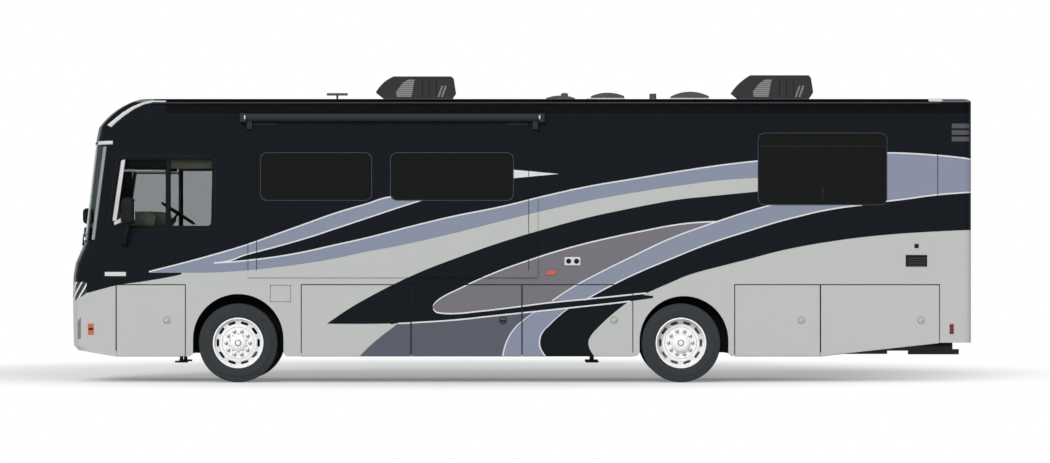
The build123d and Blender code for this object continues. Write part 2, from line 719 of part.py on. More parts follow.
with BuildPart() as basement_tubs:
    tub_y = half_width - skirt_thickness - seat_gap
    for doors, low_z in tub_groups:
        for side, table in ((-1, left_doors_table), (1, right_doors_table)):
            tub_x0 = table[doors[0]][0] + tub_setback
            tub_x1 = table[doors[-1]][1] - tub_setback
            with BuildPart(mode=Mode.PRIVATE) as tub:
                block(tub_x0, tub_x1, side * tub_inner_y, side * tub_y, low_z, floor_bottom_z)
                for door in doors:
                    bay_x0 = table[door][0] + tub_setback + tub_wall
                    bay_x1 = table[door][1] - tub_setback - tub_wall
                    block(bay_x0, bay_x1, side * (tub_inner_y + tub_wall), side * (tub_y + 5),
                          low_z + tub_wall, floor_bottom_z - tub_wall, mode=Mode.SUBTRACT)
            add(tub.part)
save(basement_tubs, "basement_tubs")

with BuildPart() as wheel_arch_liners:
    liner_y = half_width - skirt_thickness - seat_gap
    for arch in (front_arch, rear_arch):
        center_x, center_z, radius = arch
        outer = radius + liner_thickness
        for side in (-1, 1):
            with BuildPart(mode=Mode.PRIVATE) as liner:
                with BuildSketch(Plane.XZ.offset(-side * liner_y)) as face:
                    with Locations((center_x, center_z)):
                        Circle(outer)
                    with Locations((center_x, (center_z + liner_low_z) / 2)):
                        Rectangle(2 * outer, center_z - liner_low_z)
                    with Locations((center_x, liner_low_z - 500)):
                        Rectangle(2 * outer, 1000, mode=Mode.SUBTRACT)
                extrude(face.sketch, amount=side * liner_depth)
                arch_hole(arch, side * (liner_y + 5), side * (liner_y - liner_depth + liner_thickness))
                if arch is rear_arch:
                    block(center_x - 260, center_x + 260, side * (liner_y - liner_depth - 5),
                          side * (liner_y - liner_depth + liner_thickness + 5), 0, 760,
                          mode=Mode.SUBTRACT)
                else:
                    block(center_x - 200, center_x + 200, side * (liner_y - liner_depth - 5),
                          side * (liner_y - liner_depth + liner_thickness + 5), 0, 700,
                          mode=Mode.SUBTRACT)
            add(liner.part)
save(wheel_arch_liners, "wheel_arch_liners")

# ---------------------------------------------------------------- cabin floor with the entry stairs
with BuildPart() as cabin_floor:
    floor_half = half_width - wall
    block(floor_front_x, rear_seam_x, -floor_half, floor_half, floor_bottom_z, floor_top_z)
    block(entry_x0 - 1, entry_x1 + 1, stair_inner_y, floor_half + 5, floor_bottom_z - 5,
          floor_top_z + 5, mode=Mode.SUBTRACT)
    for x_side in (entry_x0 - stair_wall, entry_x1 + 1):
        block(x_side, x_side + stair_wall - 1, stair_inner_y, entry_lip_y, entry_z0, floor_bottom_z)
    block(entry_x0 - stair_wall, entry_x1 + stair_wall, stair_inner_y - stair_wall, stair_inner_y,
          entry_z0, floor_bottom_z)
    for tread in range(stair_treads):
        tread_z = entry_z0 + tread * stair_rise
        tread_y = entry_lip_y - tread * stair_run
        block(entry_x0 - 1, entry_x1 + 1, stair_inner_y - 1, tread_y, tread_z, tread_z + stair_board)
save(cabin_floor, "cabin_floor")

# ---------------------------------------------------------------- slide-out room
room_face_y = -half_width - seat_gap - flange_thickness
with BuildPart() as slide_room:
    block(slide_x0, slide_x1, room_face_y, room_face_y + slide_depth, slide_z0, slide_z1)
    block(slide_x0 - flange_side, slide_x1 + flange_side, room_face_y, room_face_y + flange_thickness,
          slide_z0 - flange_low, slide_z1 + flange_high)
    block(slide_x0 + slide_wall, slide_x1 - slide_wall, room_face_y + slide_wall,
          room_face_y + slide_depth + 5, slide_z0 + slide_wall, slide_z1 - slide_wall,
          mode=Mode.SUBTRACT)
    block(slide_x0 - flange_side + flange_frame, slide_x1 + flange_side - flange_frame,
          room_face_y - 5, room_face_y + face_step, slide_z0 - flange_low + flange_rail,
          slide_z1 + flange_high - flange_rail, mode=Mode.SUBTRACT)
    for x0, x1, z0, z1 in slide_windows_table:
        rounded_slab(x0, x1, z0, z1, window_corner, room_face_y - 5, room_face_y + slide_wall + 5,
                     mode=Mode.SUBTRACT)
save(slide_room, "slide_room")

with BuildPart() as slide_windows:
    for x0, x1, z0, z1 in slide_windows_table:
        window_pane(x0, x1, z0, z1, -1, -room_face_y)
save(slide_windows, "slide_windows")

with BuildPart() as slide_topper:
    topper_z = slide_z1 + flange_high + topper_radius + 8
    topper_y = room_face_y - topper_out
    rod((topper_x0, topper_y, topper_z), (topper_x1, topper_y, topper_z), topper_radius)
    for x_end in (topper_x0, topper_x1 - topper_bracket):
        block(x_end, x_end + topper_bracket, topper_y - topper_radius - 4, room_face_y + 16,
              topper_z - topper_radius - 6, topper_z + topper_radius + 4)
    for x_arm in (slide_x0 - flange_side, slide_x1 + flange_side - topper_arm):
        block(x_arm, x_arm + topper_arm, topper_y - 10, room_face_y, slide_z1 - topper_arm, topper_z)
save(slide_topper, "slide_topper")

# ---------------------------------------------------------------- entry door and step
with BuildPart() as entry_door:
    rounded_slab(entry_x0, entry_x1, entry_z0, entry_z1, 40, half_width, half_width - wall)
    rounded_slab(*entry_glass, 60, half_width + 5, half_width - wall - 5, mode=Mode.SUBTRACT)
    block(handle_x0, handle_x1, half_width - 1, half_width + 14, handle_z0, handle_z1)
save(entry_door, "entry_door")

with BuildPart() as entry_door_glass:
    x0, x1, z0, z1 = entry_glass
    rounded_slab(x0 + seat_gap, x1 - seat_gap, z0 + seat_gap, z1 - seat_gap, 60 - seat_gap,
                 half_width - pane_set, half_width - pane_set - glass_thickness)
save(entry_door_glass, "entry_door_glass")

with BuildPart() as entry_step:
    block(step_x0, step_x1, step_y0, step_y1, step_z0, step_z0 + step_board)
    for x_rail in (step_x0, step_x1 - 30):
        block(x_rail, x_rail + 30, step_housing_y0 + 20, step_y0 + 5, step_z0, step_z0 + step_board)
save(entry_step, "entry_step")

with BuildPart() as step_housing:
    block(step_x0 - step_case, step_x1 + step_case, step_housing_y0, step_housing_y1,
          step_z0 - step_case, step_z0 + step_board + step_case)
    block(step_x0 - seat_gap, step_x1 + seat_gap, step_housing_y0 + step_case, step_y1,
          step_z0 - seat_gap, step_z0 + step_board + seat_gap, mode=Mode.SUBTRACT)
    for x_arm in (step_x0 + step_arm_inset, step_x1 - step_arm_inset - step_arm):
        block(x_arm, x_arm + step_arm, rail_outer_y + seat_gap, step_housing_y0 + step_arm_lap,
              step_z0 + step_board + step_case - 1, rail_z0 + step_arm)
save(step_housing, "step_housing")

# ---------------------------------------------------------------- chassis
with BuildPart() as chassis_frame:
    for side in (-1, 1):
        with BuildPart(mode=Mode.PRIVATE) as rail:
            block(rail_x0, rail_x1, side * rail_inner_y, side * rail_outer_y, rail_z0, rail_z1)
            block(rail_x0 - 5, rail_x1 + 5, side * (rail_inner_y - 5), side * (rail_outer_y - rail_web),
                  rail_z0 + rail_web, rail_z1 - rail_web, mode=Mode.SUBTRACT)
        add(rail.part)
    for x_member in cross_members:
        block(x_member, x_member + member_width, -rail_outer_y, rail_outer_y, rail_z1 - 1,
              floor_bottom_z)
        block(x_member, x_member + member_width, -rail_outer_y + rail_web, rail_outer_y - rail_web,
              rail_z0 + 60, rail_z1)
    block(hitch_x0, hitch_x1, -hitch_half, hitch_half, hitch_z0, hitch_z0 + 2 * hitch_half)
    block(hitch_x0 - 5, hitch_x1 + 5, -hitch_bore, hitch_bore, hitch_z0 + hitch_half - hitch_bore,
          hitch_z0 + hitch_half + hitch_bore, mode=Mode.SUBTRACT)
    block(hitch_x0, hitch_x0 + hitch_plate, -rail_outer_y, rail_outer_y,
          hitch_z0 + 2 * hitch_half - 2, hitch_z0 + hitch_drop)
    for side in (-1, 1):
        block(hitch_x0, hitch_x0 + hitch_plate, side * rail_inner_y, side * rail_outer_y,
              hitch_z0 + hitch_hang, rail_z0 + 5)
save(chassis_frame, "chassis_frame")

with BuildPart() as engine_block:
    block(engine_x0, engine_x1, -engine_half, engine_half, engine_z0, engine_z1)
    rod((engine_x0 - gearbox_length, 0, axle_z + 180), (engine_x0 + 1, 0, axle_z + 180), gearbox_radius)
save(engine_block, "engine_block")

with BuildPart() as exhaust_pipe:
    rod((exhaust_x0, exhaust_y, exhaust_z), (exhaust_x1, exhaust_y, exhaust_z), exhaust_radius)
    rod((exhaust_x1 - 1, exhaust_y, exhaust_z), (tailpipe_x1, exhaust_y, exhaust_z), tailpipe_radius)
save(exhaust_pipe, "exhaust_pipe")

# ---------------------------------------------------------------- axles, suspension, knuckles
with BuildPart() as front_axle:
    rod((front_axle_x, -beam_end_y, beam_z), (front_axle_x, beam_end_y, beam_z), beam_radius)
    for side in (-1, 1):
        rod((front_axle_x, side * kingpin_half, pin_z0), (front_axle_x, side * kingpin_half, pin_z1),
            kingpin_radius)
        rod((front_axle_x, side * kingpin_half, eye_z0), (front_axle_x, side * kingpin_half, eye_z1),
            eye_radius)
        block(front_axle_x - 60, front_axle_x + 60, side * (spring_y - 60), side * (spring_y + 60),
              beam_z, spring_pad_z)
save(front_axle, "front_axle")


def knuckle_body(side):
    """Steering knuckle: two ears on the kingpin, an upright plate and the wheel spindle."""
    pin_y = side * kingpin_half
    with BuildPart() as knuckle:
        for z0, z1 in ((pin_z0, eye_z0 - ear_gap), (eye_z1 + ear_gap, pin_z1)):
            rod((front_axle_x, pin_y, z0), (front_axle_x, pin_y, z1), eye_radius)
            block(front_axle_x - eye_radius, front_axle_x + eye_radius, pin_y,
                  pin_y + side * plate_out, z0, z1)
        block(front_axle_x - eye_radius, front_axle_x + eye_radius, pin_y + side * plate_in,
              pin_y + side * plate_out, pin_z0, pin_z1)
        rod((front_axle_x, pin_y + side * (plate_out - 1), axle_z),
            (front_axle_x, side * (front_track_half + spindle_out), axle_z), spindle_radius)
        rod((front_axle_x, pin_y, pin_z0 - 1), (front_axle_x, pin_y, pin_z1 + 1),
            kingpin_radius + seat_gap, mode=Mode.SUBTRACT)
        block(front_axle_x + eye_radius - 1, front_axle_x + eye_radius + 140,
              pin_y - side * 15, pin_y + side * 15, pin_z0, pin_z0 + 30)
        block(front_axle_x, front_axle_x + eye_radius + 5, pin_y + side * 30, pin_y - side * 15,
              pin_z0, pin_z0 + 30)
        rod((front_axle_x, pin_y, pin_z0 - 1), (front_axle_x, pin_y, pin_z1 + 1),
            kingpin_radius + seat_gap, mode=Mode.SUBTRACT)
    return knuckle


knuckle_left = knuckle_body(-1)
save(knuckle_left, "knuckle_left")
knuckle_right = knuckle_body(1)
save(knuckle_right, "knuckle_right")

with BuildPart() as rear_axle:
    rod((rear_axle_x, -rear_tube_y, axle_z), (rear_axle_x, rear_tube_y, axle_z), rear_tube_radius)
    with Locations((rear_axle_x, 0, axle_z)):
        Sphere(diff_radius)
    for side in (-1, 1):
        rod((rear_axle_x, side * (rear_tube_y - 1), axle_z),
            (rear_axle_x, side * rear_spindle_y, axle_z), spindle_radius)
        block(rear_axle_x - 60, rear_axle_x + 60, side * (spring_y - 60), side * (spring_y + 60),
              axle_z, spring_pad_z)
    rod((rear_axle_x + diff_radius - 30, 0, axle_z + 60),
        (engine_x0 - gearbox_length - shaft_tilt_room, 0, axle_z + 150), 45)
save(rear_axle, "rear_axle")

with BuildPart() as suspension:
    for axle_x in (front_axle_x, rear_axle_x):
        for side in (-1, 1):
            rod((axle_x, side * spring_y, spring_pad_z), (axle_x, side * spring_y, rail_z0),
                air_spring_radius)
            block(axle_x + 200, axle_x + 700, side * (spring_y - 30), side * (spring_y + 30),
                  spring_pad_z + 20, spring_pad_z + 70)
            block(axle_x + 100, axle_x + 210, side * (spring_y - 30), side * (spring_y + 30),
                  spring_pad_z + 20, spring_pad_z + 70)
            block(axle_x + 620, axle_x + 700, side * (spring_y - 30), side * (spring_y + 30),
                  spring_pad_z + 60, rail_z0)
save(suspension, "suspension")

with BuildPart() as levelling_jacks:
    for jack_x in jack_xs:
        for side in (-1, 1):
            rod((jack_x, side * jack_y, jack_z0), (jack_x, side * jack_y, jack_z1), jack_radius)
            rod((jack_x, side * jack_y, jack_foot_z), (jack_x, side * jack_y, jack_z0 + 1), jack_leg_radius)
            rod((jack_x, side * jack_y, jack_foot_z), (jack_x, side * jack_y, jack_foot_z + 22),
                jack_foot_radius)
            block(jack_x - 50, jack_x + 50, side * rail_outer_y, side * jack_y, rail_z0 + 20, rail_z1 - 20)
save(levelling_jacks, "levelling_jacks")


# ---------------------------------------------------------------- wheels
def tyre_body(center_x, center_y):
    """One tyre as a turned section: straight walls that bulge to the tyre's width, and a tread."""
    half = tyre_width / 2
    bead = half - bead_inset
    with BuildPart() as tyre:
        with BuildSketch(Plane.XY):
            with BuildLine():
                Polyline((bead, tyre_bore), (half, tyre_bulge), (half - tread_inset, tyre_radius),
                         (tread_inset - half, tyre_radius), (-half, tyre_bulge), (-bead, tyre_bore),
                         close=True)
            make_face()
        revolve(axis=Axis.X)
    return tyre.part.rotate(Axis.Z, 90).move(Location((center_x, center_y, axle_z)))


def rim_body(center_x, center_y, out, face_a, bore_a0, bore_a1, outer_wheel):
    """One steel wheel: barrel, dished disc and hub; an outer wheel has slots, lug nuts and a cap.

    The axial offsets are counted outwards from the tyre's middle plane.
    """
    barrel_inner = rim_radius - barrel_wall
    disc_edge = barrel_inner + 1
    bore = spindle_radius + seat_gap
    disc_in = face_a - disc_thickness
    with BuildPart() as rim:
        with BuildSketch(Plane.XY):
            with BuildLine():
                Polyline((-barrel_half, rim_radius), (barrel_half, rim_radius),
                         (barrel_half, barrel_inner), (-barrel_half, barrel_inner), close=True)
            make_face()
            with BuildLine():
                Polyline((disc_in - disc_dish, disc_edge), (face_a - disc_dish, disc_edge),
                         (face_a, disc_step), (face_a, bore), (disc_in, bore), (disc_in, disc_step - 4),
                         close=True)
            make_face()
            with BuildLine():
                Polyline((bore_a0, bore), (bore_a1, bore), (bore_a1, hub_radius), (bore_a0, hub_radius),
                         close=True)
            make_face()
            if outer_wheel:
                with BuildLine():
                    Polyline((bore_a1 - 1, 0), (bore_a1 + cap_proud, 0),
                             (bore_a1 + cap_proud, hub_radius - cap_taper), (bore_a1 - 1, hub_radius),
                             close=True)
                make_face()
        revolve(axis=Axis.X)
        if outer_wheel:
            with Locations(Plane.YZ.offset(face_a)):
                with PolarLocations(lug_circle, lug_count):
                    Cylinder(lug_radius, 2 * lug_height)
            with BuildSketch(Plane.YZ.offset(face_a + 5)) as holes:
                with PolarLocations(slot_circle, slot_count):
                    SlotOverall(slot_length, slot_width, rotation=90)
            extrude(holes.sketch, amount=-disc_dish - disc_thickness - 40, mode=Mode.SUBTRACT)
    turned = rim.part.rotate(Axis.Z, 90 * out)
    return turned.move(Location((center_x, center_y, axle_z)))


wheel_table = [  # (name, axle x, side)
    ("front_left", front_axle_x, -1),
    ("front_right", front_axle_x, 1),
    ("rear_left", rear_axle_x, -1),
    ("rear_right", rear_axle_x, 1),
]
for name, wheel_x, side in wheel_table:
    with BuildPart() as tyre_node:
        if wheel_x == front_axle_x:
            add(tyre_body(wheel_x, side * front_track_half))
        else:
            add(tyre_body(wheel_x, side * dual_outer_half))
            add(tyre_body(wheel_x, side * (dual_outer_half - dual_spacing)))
    save(tyre_node, name + ("_tyre" if wheel_x == front_axle_x else "_tyres"))
    with BuildPart() as rim_node:
        if wheel_x == front_axle_x:
            add(rim_body(wheel_x, side * front_track_half, side, front_face_a, -20, spindle_out + 6, True))
        else:
            add(rim_body(wheel_x, side * dual_outer_half, side, rear_face_a, rear_hub_a0, rear_hub_a1, True))
            add(rim_body(wheel_x, side * (dual_outer_half - dual_spacing), side,
                         dual_spacing / 2 - 10, dual_spacing / 2 - 60, dual_spacing / 2 - 10, False))
    save(rim_node, name + ("_rim" if wheel_x == front_axle_x else "_rims"))

# ---------------------------------------------------------------- cab: dash, steering wheel, seats
column_dir = Vector(math.sin(math.radians(column_lean)), 0, math.cos(math.radians(column_lean)))
wheel_center = Vector(*steering_center)
column_top = wheel_center - column_dir * 70
column_foot = wheel_center - column_dir * column_length

with BuildPart() as dashboard:
    slab(dash_points, -dash_half, dash_split_y)
    slab(dash_short_points, dash_split_y, dash_half)
    rod(tuple(column_foot), tuple(column_top), column_radius)
    rod(tuple(column_top - column_dir * 120), tuple(column_top + column_dir * 5), shaft_radius + seat_gap,
        mode=Mode.SUBTRACT)
save(dashboard, "dashboard")

wheel_plane = Plane(origin=wheel_center, x_dir=(0, 1, 0), z_dir=column_dir)
with BuildPart() as steering_wheel:
    with Locations(wheel_plane):
        Cylinder(55, 44)
        for turn in (90, 210, 330):
            with Locations(Location((0, 0, 0), (0, 0, turn))):
                with Locations((steering_radius / 2, 0, 0)):
                    Box(steering_radius, 34, 12)
    with BuildSketch(Plane(origin=wheel_center, x_dir=(0, 1, 0), z_dir=column_dir.cross(Vector(0, 1, 0)))):
        with Locations((steering_radius, 0)):
            RegularPolygon(steering_grip, 8)
    revolve(axis=Axis(wheel_center, column_dir))
    rod(tuple(column_top - column_dir * 100), tuple(wheel_center), shaft_radius)
save(steering_wheel, "steering_wheel")

with BuildPart() as cab_seats:
    for seat_x, seat_y in seat_places:
        with BuildPart(mode=Mode.PRIVATE) as seat:
            rod((seat_x, seat_y, floor_top_z), (seat_x, seat_y, seat_z), 110)
            block(seat_x - 260, seat_x + 260, seat_y - 260, seat_y + 260, seat_z - 1, seat_z + 150)
            with BuildSketch(Plane.XZ.offset(-seat_y - 250)) as back:
                with BuildLine():
                    Polyline((seat_x + 180, seat_z + 140), (seat_x + 330, seat_z + 100),
                             (seat_x + 470, seat_z + 840), (seat_x + 350, seat_z + 860), close=True)
                make_face()
            extrude(back.sketch, amount=500)
        add(seat.part)
save(cab_seats, "cab_seats")

# ---------------------------------------------------------------- roof equipment
with BuildPart() as roof_air_units:
    for tip0, tip1, top_z in air_units:
        foot0, foot1 = tip0 + air_foot_front, tip1 - air_foot_rear
        with BuildSketch(Plane.XZ.offset(air_half)) as profile:
            with BuildLine():
                Polyline((tip1, air_tip_z), (foot1, air_foot_z), (foot1, air_base_z), (foot0, air_base_z),
                         (foot0, air_foot_z), (tip0, air_tip_z))
                ThreePointArc((tip0, air_tip_z), (tip0 + air_bow_run, air_bow_z), (tip0 + air_top_run, top_z))
                Polyline((tip0 + air_top_run, top_z), (tip1 - air_top_back, top_z),
                         (tip1 - air_top_back / 2, air_corner_z), (tip1, air_tip_z))
            make_face()
        extrude(profile.sketch, amount=-2 * air_half)
    add(crown_body(-seat_gap), mode=Mode.SUBTRACT)
save(roof_air_units, "roof_air_units")

with BuildPart() as roof_vents:
    for x0, x1, half, shoulder_z, top_z in roof_domes:
        with BuildSketch(Plane.XZ.offset(half)) as profile:
            with BuildLine():
                Polyline((x1, shoulder_z), (x1, air_base_z), (x0, air_base_z), (x0, shoulder_z))
                ThreePointArc((x0, shoulder_z), ((x0 + x1) / 2, top_z), (x1, shoulder_z))
            make_face()
        extrude(profile.sketch, amount=-2 * half)
    for x_mid, radius, top_z in roof_rounds:
        rod((x_mid, 0, air_base_z), (x_mid, 0, top_z), radius)
    block(antenna_x - 126, antenna_x + 126, -60, 60, antenna_z, antenna_z + 28)
    add(crown_body(-seat_gap), mode=Mode.SUBTRACT)
save(roof_vents, "roof_vents")

with BuildPart() as patio_awning:
    awning_y = half_width + awning_out
    rod((awning_x0, awning_y, awning_z), (awning_x1, awning_y, awning_z), awning_radius)
    for x_end in (awning_x0, awning_x1 - 60):
        block(x_end, x_end + 60, half_width, awning_y + 40, awning_z - 40, awning_z + 40)
        block(x_end + 10, x_end + 50, half_width, half_width + 36, awning_z - awning_arm, awning_z + 40)
save(patio_awning, "patio_awning")

# ---------------------------------------------------------------- mirrors, wipers, lamps, fittings
with BuildPart() as mirrors:
    for side, (x0, x1, z0, z1), (foot_x, foot_z) in mirror_table:
        head_y0 = side * (half_width + mirror_gap)
        head_y1 = head_y0 + side * mirror_depth
        with BuildPart(mode=Mode.PRIVATE) as mirror:
            block(x0, x1, head_y0, head_y1, z0, z1)
            fillet(mirror.edges().filter_by(Axis.Z), mirror_corner)
            arm_top = ((x0 + x1) / 2, (head_y0 + head_y1) / 2, z0 + 10)
            rod((foot_x, side * (half_width + 45), foot_z), arm_top, mirror_arm_radius)
            rod((foot_x, side * half_width, foot_z), (foot_x, side * (half_width + mirror_gap), foot_z),
                mirror_foot_radius)
        add(mirror.part)
save(mirrors, "mirrors")

with BuildPart() as lamps:
    for side in (-1, 1):
        add(lamp_skin & lamp_region(side, seat_gap))
        block(tail_x - wall + 4, tail_x, side * (tail_lamp_y0 + seat_gap), side * (tail_lamp_y1 - seat_gap),
              tail_lamp_z0 + seat_gap, tail_lamp_z1 - seat_gap)
save(lamps, "lamps")

louvre_skin = tail_outline(louvre_set) - tail_outline(wall)
with BuildPart() as body_fittings:
    for x0, x1, z0, z1, proud in fittings_table:
        block(x0, x1, -half_width - proud, -half_width, z0, z1)
    for side in (-1, 1):
        for row in range(louvre_rows):
            slot_z = louvre_z0 + row * louvre_pitch
            with BuildPart(mode=Mode.PRIVATE) as slat:
                block(louvre_x0, louvre_x1, side * (half_width - 2 * tail_corner),
                      side * (half_width + 5), slot_z, slot_z + louvre_height)
            add(louvre_skin & slat.part)
save(body_fittings, "body_fittings")
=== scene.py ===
"""Looks of a bus-style motorhome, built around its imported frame.

X runs from nose (-X) to tail (+X), the driver sits on the -Y side and Z is up; all in metres.
"""

import math

import bmesh
import bpy
import numpy as np
from bpy.props import FloatProperty, IntProperty, PointerProperty, StringProperty
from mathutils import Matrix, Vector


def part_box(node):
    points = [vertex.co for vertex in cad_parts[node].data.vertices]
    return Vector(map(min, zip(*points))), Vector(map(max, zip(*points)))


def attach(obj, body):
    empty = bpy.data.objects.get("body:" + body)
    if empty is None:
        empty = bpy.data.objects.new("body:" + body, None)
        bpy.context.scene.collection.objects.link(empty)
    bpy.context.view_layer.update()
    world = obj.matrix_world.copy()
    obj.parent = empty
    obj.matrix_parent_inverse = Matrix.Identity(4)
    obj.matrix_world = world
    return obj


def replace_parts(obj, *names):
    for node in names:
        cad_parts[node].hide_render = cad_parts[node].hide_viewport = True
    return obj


bl_info = {
    "name": "Motorhome Looks",
    "version": (1, 0, 0),
    "blender": (4, 5, 0),
    "location": "View3D > Sidebar > Motorhome",
    "description": "Paint, glass, wheels and trim of a bus-style motorhome around its frame",
    "category": "Object",
}

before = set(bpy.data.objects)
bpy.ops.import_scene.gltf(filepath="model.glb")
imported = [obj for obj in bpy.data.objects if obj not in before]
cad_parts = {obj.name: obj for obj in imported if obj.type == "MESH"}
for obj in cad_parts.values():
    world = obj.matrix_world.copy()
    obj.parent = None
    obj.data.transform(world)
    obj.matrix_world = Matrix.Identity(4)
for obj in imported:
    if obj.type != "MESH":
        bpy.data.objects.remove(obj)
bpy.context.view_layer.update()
# Y of the outer face of the driver's side wall, and 2 mm outside the slide-out room's panes.
SIDE_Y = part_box("left_wall")[0].y
SLIDE_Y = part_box("slide_windows")[0].y - 0.002

# The paint's side drawing: columns run to the tail and rows run down, one unit being 11.94 mm
# on the driver's side wall.
DRAWING_UNIT = 0.01194
DRAWING_COLUMN = 519.2
DRAWING_ROW = 382.6
# The drawing on the sides of the roof's air units, which stand further back: the size of one
# unit there, the column of the first unit's tip, and the row and height of the eye.
AIR_UNIT = 0.0121
AIR_TIP_COLUMN = 376.5
EYE_ROW = 248.6
EYE_Z = 1.6

# Axles and wheels: X of both axles, height of the hubs, radii of the circles of the wheel nuts
# and of the studs inside it, the angle that the studs are turned by so that they stand between
# the nuts, and the number of nuts.
FRONT_AXLE_X = -3.359
REAR_AXLE_X = 1.932
HUB_Z = 0.473
NUT_CIRCLE = 0.142875
STUD_CIRCLE = 0.108
STUD_TURN = 0.31
NUTS = 10
# Arms and rails start this far from the middle, 3 mm inside the outer face of the walls.
ROOT_Y = 1.286
# The bay doors' sill: its height, and its rise over a length that starts at an X.
SILL_Z, SILL_RISE = 0.312, 0.156
RISE_X, RISE_LENGTH = 3.596, 1.426
# A bay door's latch: its height, and its distance from the door's rear edge.
LATCH_Z, LATCH_BACK = 0.7435, 0.222


def side_x(column):
    """X of a column of the side drawing."""
    return (column - DRAWING_COLUMN) * DRAWING_UNIT


def side_z(row):
    """Z of a row of the side drawing."""
    return (DRAWING_ROW - row) * DRAWING_UNIT


# ------------------------------------------------------------------------- nodes and materials
def linear(colour):
    """Linear RGBA of an sRGB hex colour such as "#c0c2bf"."""
    shares = [int(colour[i:i + 2], 16) / 255 for i in (1, 3, 5)]
    return [s / 12.92 if s <= 0.04045 else ((s + 0.055) / 1.055) ** 2.4 for s in shares] + [1.0]


def shown(node):
    """The first output that a node has in use."""
    return next(output for output in node.outputs if output.enabled)


def add(tree, kind, inputs=(), to=None, **settings):
    """Adds a shader node, sets its properties, fills inputs with values or links from nodes, and
    links its own output to a socket where one is given."""
    node = tree.nodes.new("ShaderNode" + kind)
    for name, value in settings.items():
        setattr(node, name, value)
    pairs = inputs.items() if isinstance(inputs, dict) else enumerate(inputs)
    for key, value in pairs:
        if isinstance(value, bpy.types.Node):
            value = shown(value)
        if isinstance(value, bpy.types.NodeSocket):
            tree.links.new(value, node.inputs[key])
        elif value is not None:
            node.inputs[key].default_value = value
    if to is not None:
        tree.links.new(shown(node), to)
    return node


def start_material(name, colour, roughness, **sockets):
    """A material with one Principled shader; sockets are its other inputs, spaces as underscores."""
    material = bpy.data.materials.new(name)
    material.use_nodes = True
    material.diffuse_color = linear(colour)
    tree = material.node_tree
    tree.nodes.clear()
    inputs = {"Base Color": linear(colour), "Roughness": roughness}
    inputs.update({key.replace("_", " "): value for key, value in sockets.items()})
    shader = add(tree, "BsdfPrincipled", inputs)
    add(tree, "OutputMaterial", {"Surface": shader})
    return material, tree, shader


def mottle(tree, shader, dark, light, grain, bump=0.0, height=0.001, rough=None):
    """Two tones that wander over a grain size in metres, with a matching bump and roughness."""
    place = add(tree, "TexCoord").outputs["Object"]
    noise = add(tree, "TexNoise", {"Vector": place, "Scale": 1 / grain, "Detail": 4.0})
    add(tree, "Mix", {0: noise, 6: linear(dark), 7: linear(light)}, shader.inputs["Base Color"],
        data_type="RGBA")
    if rough:
        add(tree, "MapRange", {0: noise, 3: rough[0], 4: rough[1]}, shader.inputs["Roughness"])
    if bump:
        add(tree, "Bump", {"Strength": bump, "Distance": height, "Height": noise}, shader.inputs["Normal"])
    return place


# Stripe edges of the paint: points (column, row) on the side drawing, placed one by one.
EDGES = {
    "dark_foot": [(70, 298), (100, 289.6), (116, 285.5), (145, 281.2), (171, 276.7), (181.6, 274.3)],
    "blue_foot": [(181.6, 272.7), (215, 272.5), (245, 270.5), (275, 267.5), (305, 263.5), (335, 258.5),
                  (365, 252), (395, 246.5), (425, 240), (455, 233), (500, 221.5), (545, 210.5),
                  (590, 200.5), (635, 192.5), (680, 185.5), (725, 180), (758, 178)],
    "prong_top": [(149, 271.6), (180, 263.8), (215, 254.3), (245, 245.3), (275, 234.7), (305, 224),
                  (335, 213.3), (365, 204.4), (393, 196.6), (424, 196)],
    "prong_foot": [(214, 263), (226.5, 261.4), (245, 255), (275, 247), (305, 238.5), (335, 228.7),
                   (365, 218.7), (395, 208.7), (424, 199.4)],
    "sweep_top": [(214, 262.9), (230, 262), (245, 260.6), (275, 257), (305, 251.7), (335, 245),
                  (365, 238.3), (395, 230.6), (425, 223), (455, 216), (500, 207), (545, 196),
                  (590, 186.2), (635, 178.7), (680, 171.3), (725, 164.7), (758, 161)],
    "tail_top": [(884, 152.8), (905, 153.3), (935, 155.2), (955, 157), (975, 160)],
    "tail_foot": [(884, 201.5), (905, 199), (935, 195), (955, 193.2), (975, 192)],
    "swoosh_top": [(327, 323.6), (335, 318), (350, 308), (365, 299.3), (380, 291.2), (395, 283.6),
                   (425, 270), (455, 258.5), (500, 242.6), (545, 229), (590, 217), (620, 210.5),
                   (650, 204.5), (680, 199.3), (710, 196.2), (758, 191.5)],
    "belly": [(327, 323.8), (398, 323.4), (425, 322), (450, 320.4), (496, 315.6), (545, 310.5),
              (575, 307.3), (627, 301.6), (653, 298)],
    "dark_heel": [(644.5, 294), (671.3, 282.3), (690, 274.6), (729, 264.1), (747, 259.6), (777, 251.6),
                  (800, 246.7), (825, 242.4), (861, 237.4), (888, 234.7), (920, 232.4), (975, 229.8)],
    "leaf_top": [(432.6, 306.5), (434.5, 303.6), (441, 298), (459.5, 288.6), (491, 274.2), (528, 260.6),
                 (570, 247.6), (620, 235.6), (645, 230.6), (671, 225.6), (696, 222.6), (721, 221.6)],
    "leaf_foot": [(432.6, 306.5), (434, 310), (439, 312.8), (450, 313.6), (478, 311.4), (522, 306.2),
                  (550, 302.6), (587, 299.1), (646, 293.1)],
    "band_top": [(549.8, 302.5), (571.8, 287.8), (594.8, 275.2), (633, 256.2), (671.3, 238.2),
                 (713, 223), (729, 217.6), (748, 211.6), (777, 203.6), (800, 199)],
    "needle_top": [(644, 294.8), (653, 296.0)],
    "band_foot": [(585, 300), (604.4, 289.2), (631, 275.8), (671.3, 258.6), (709.6, 243.4), (748, 231),
                  (777, 222), (800, 216), (825, 210.3), (862, 205), (900, 203)],
}
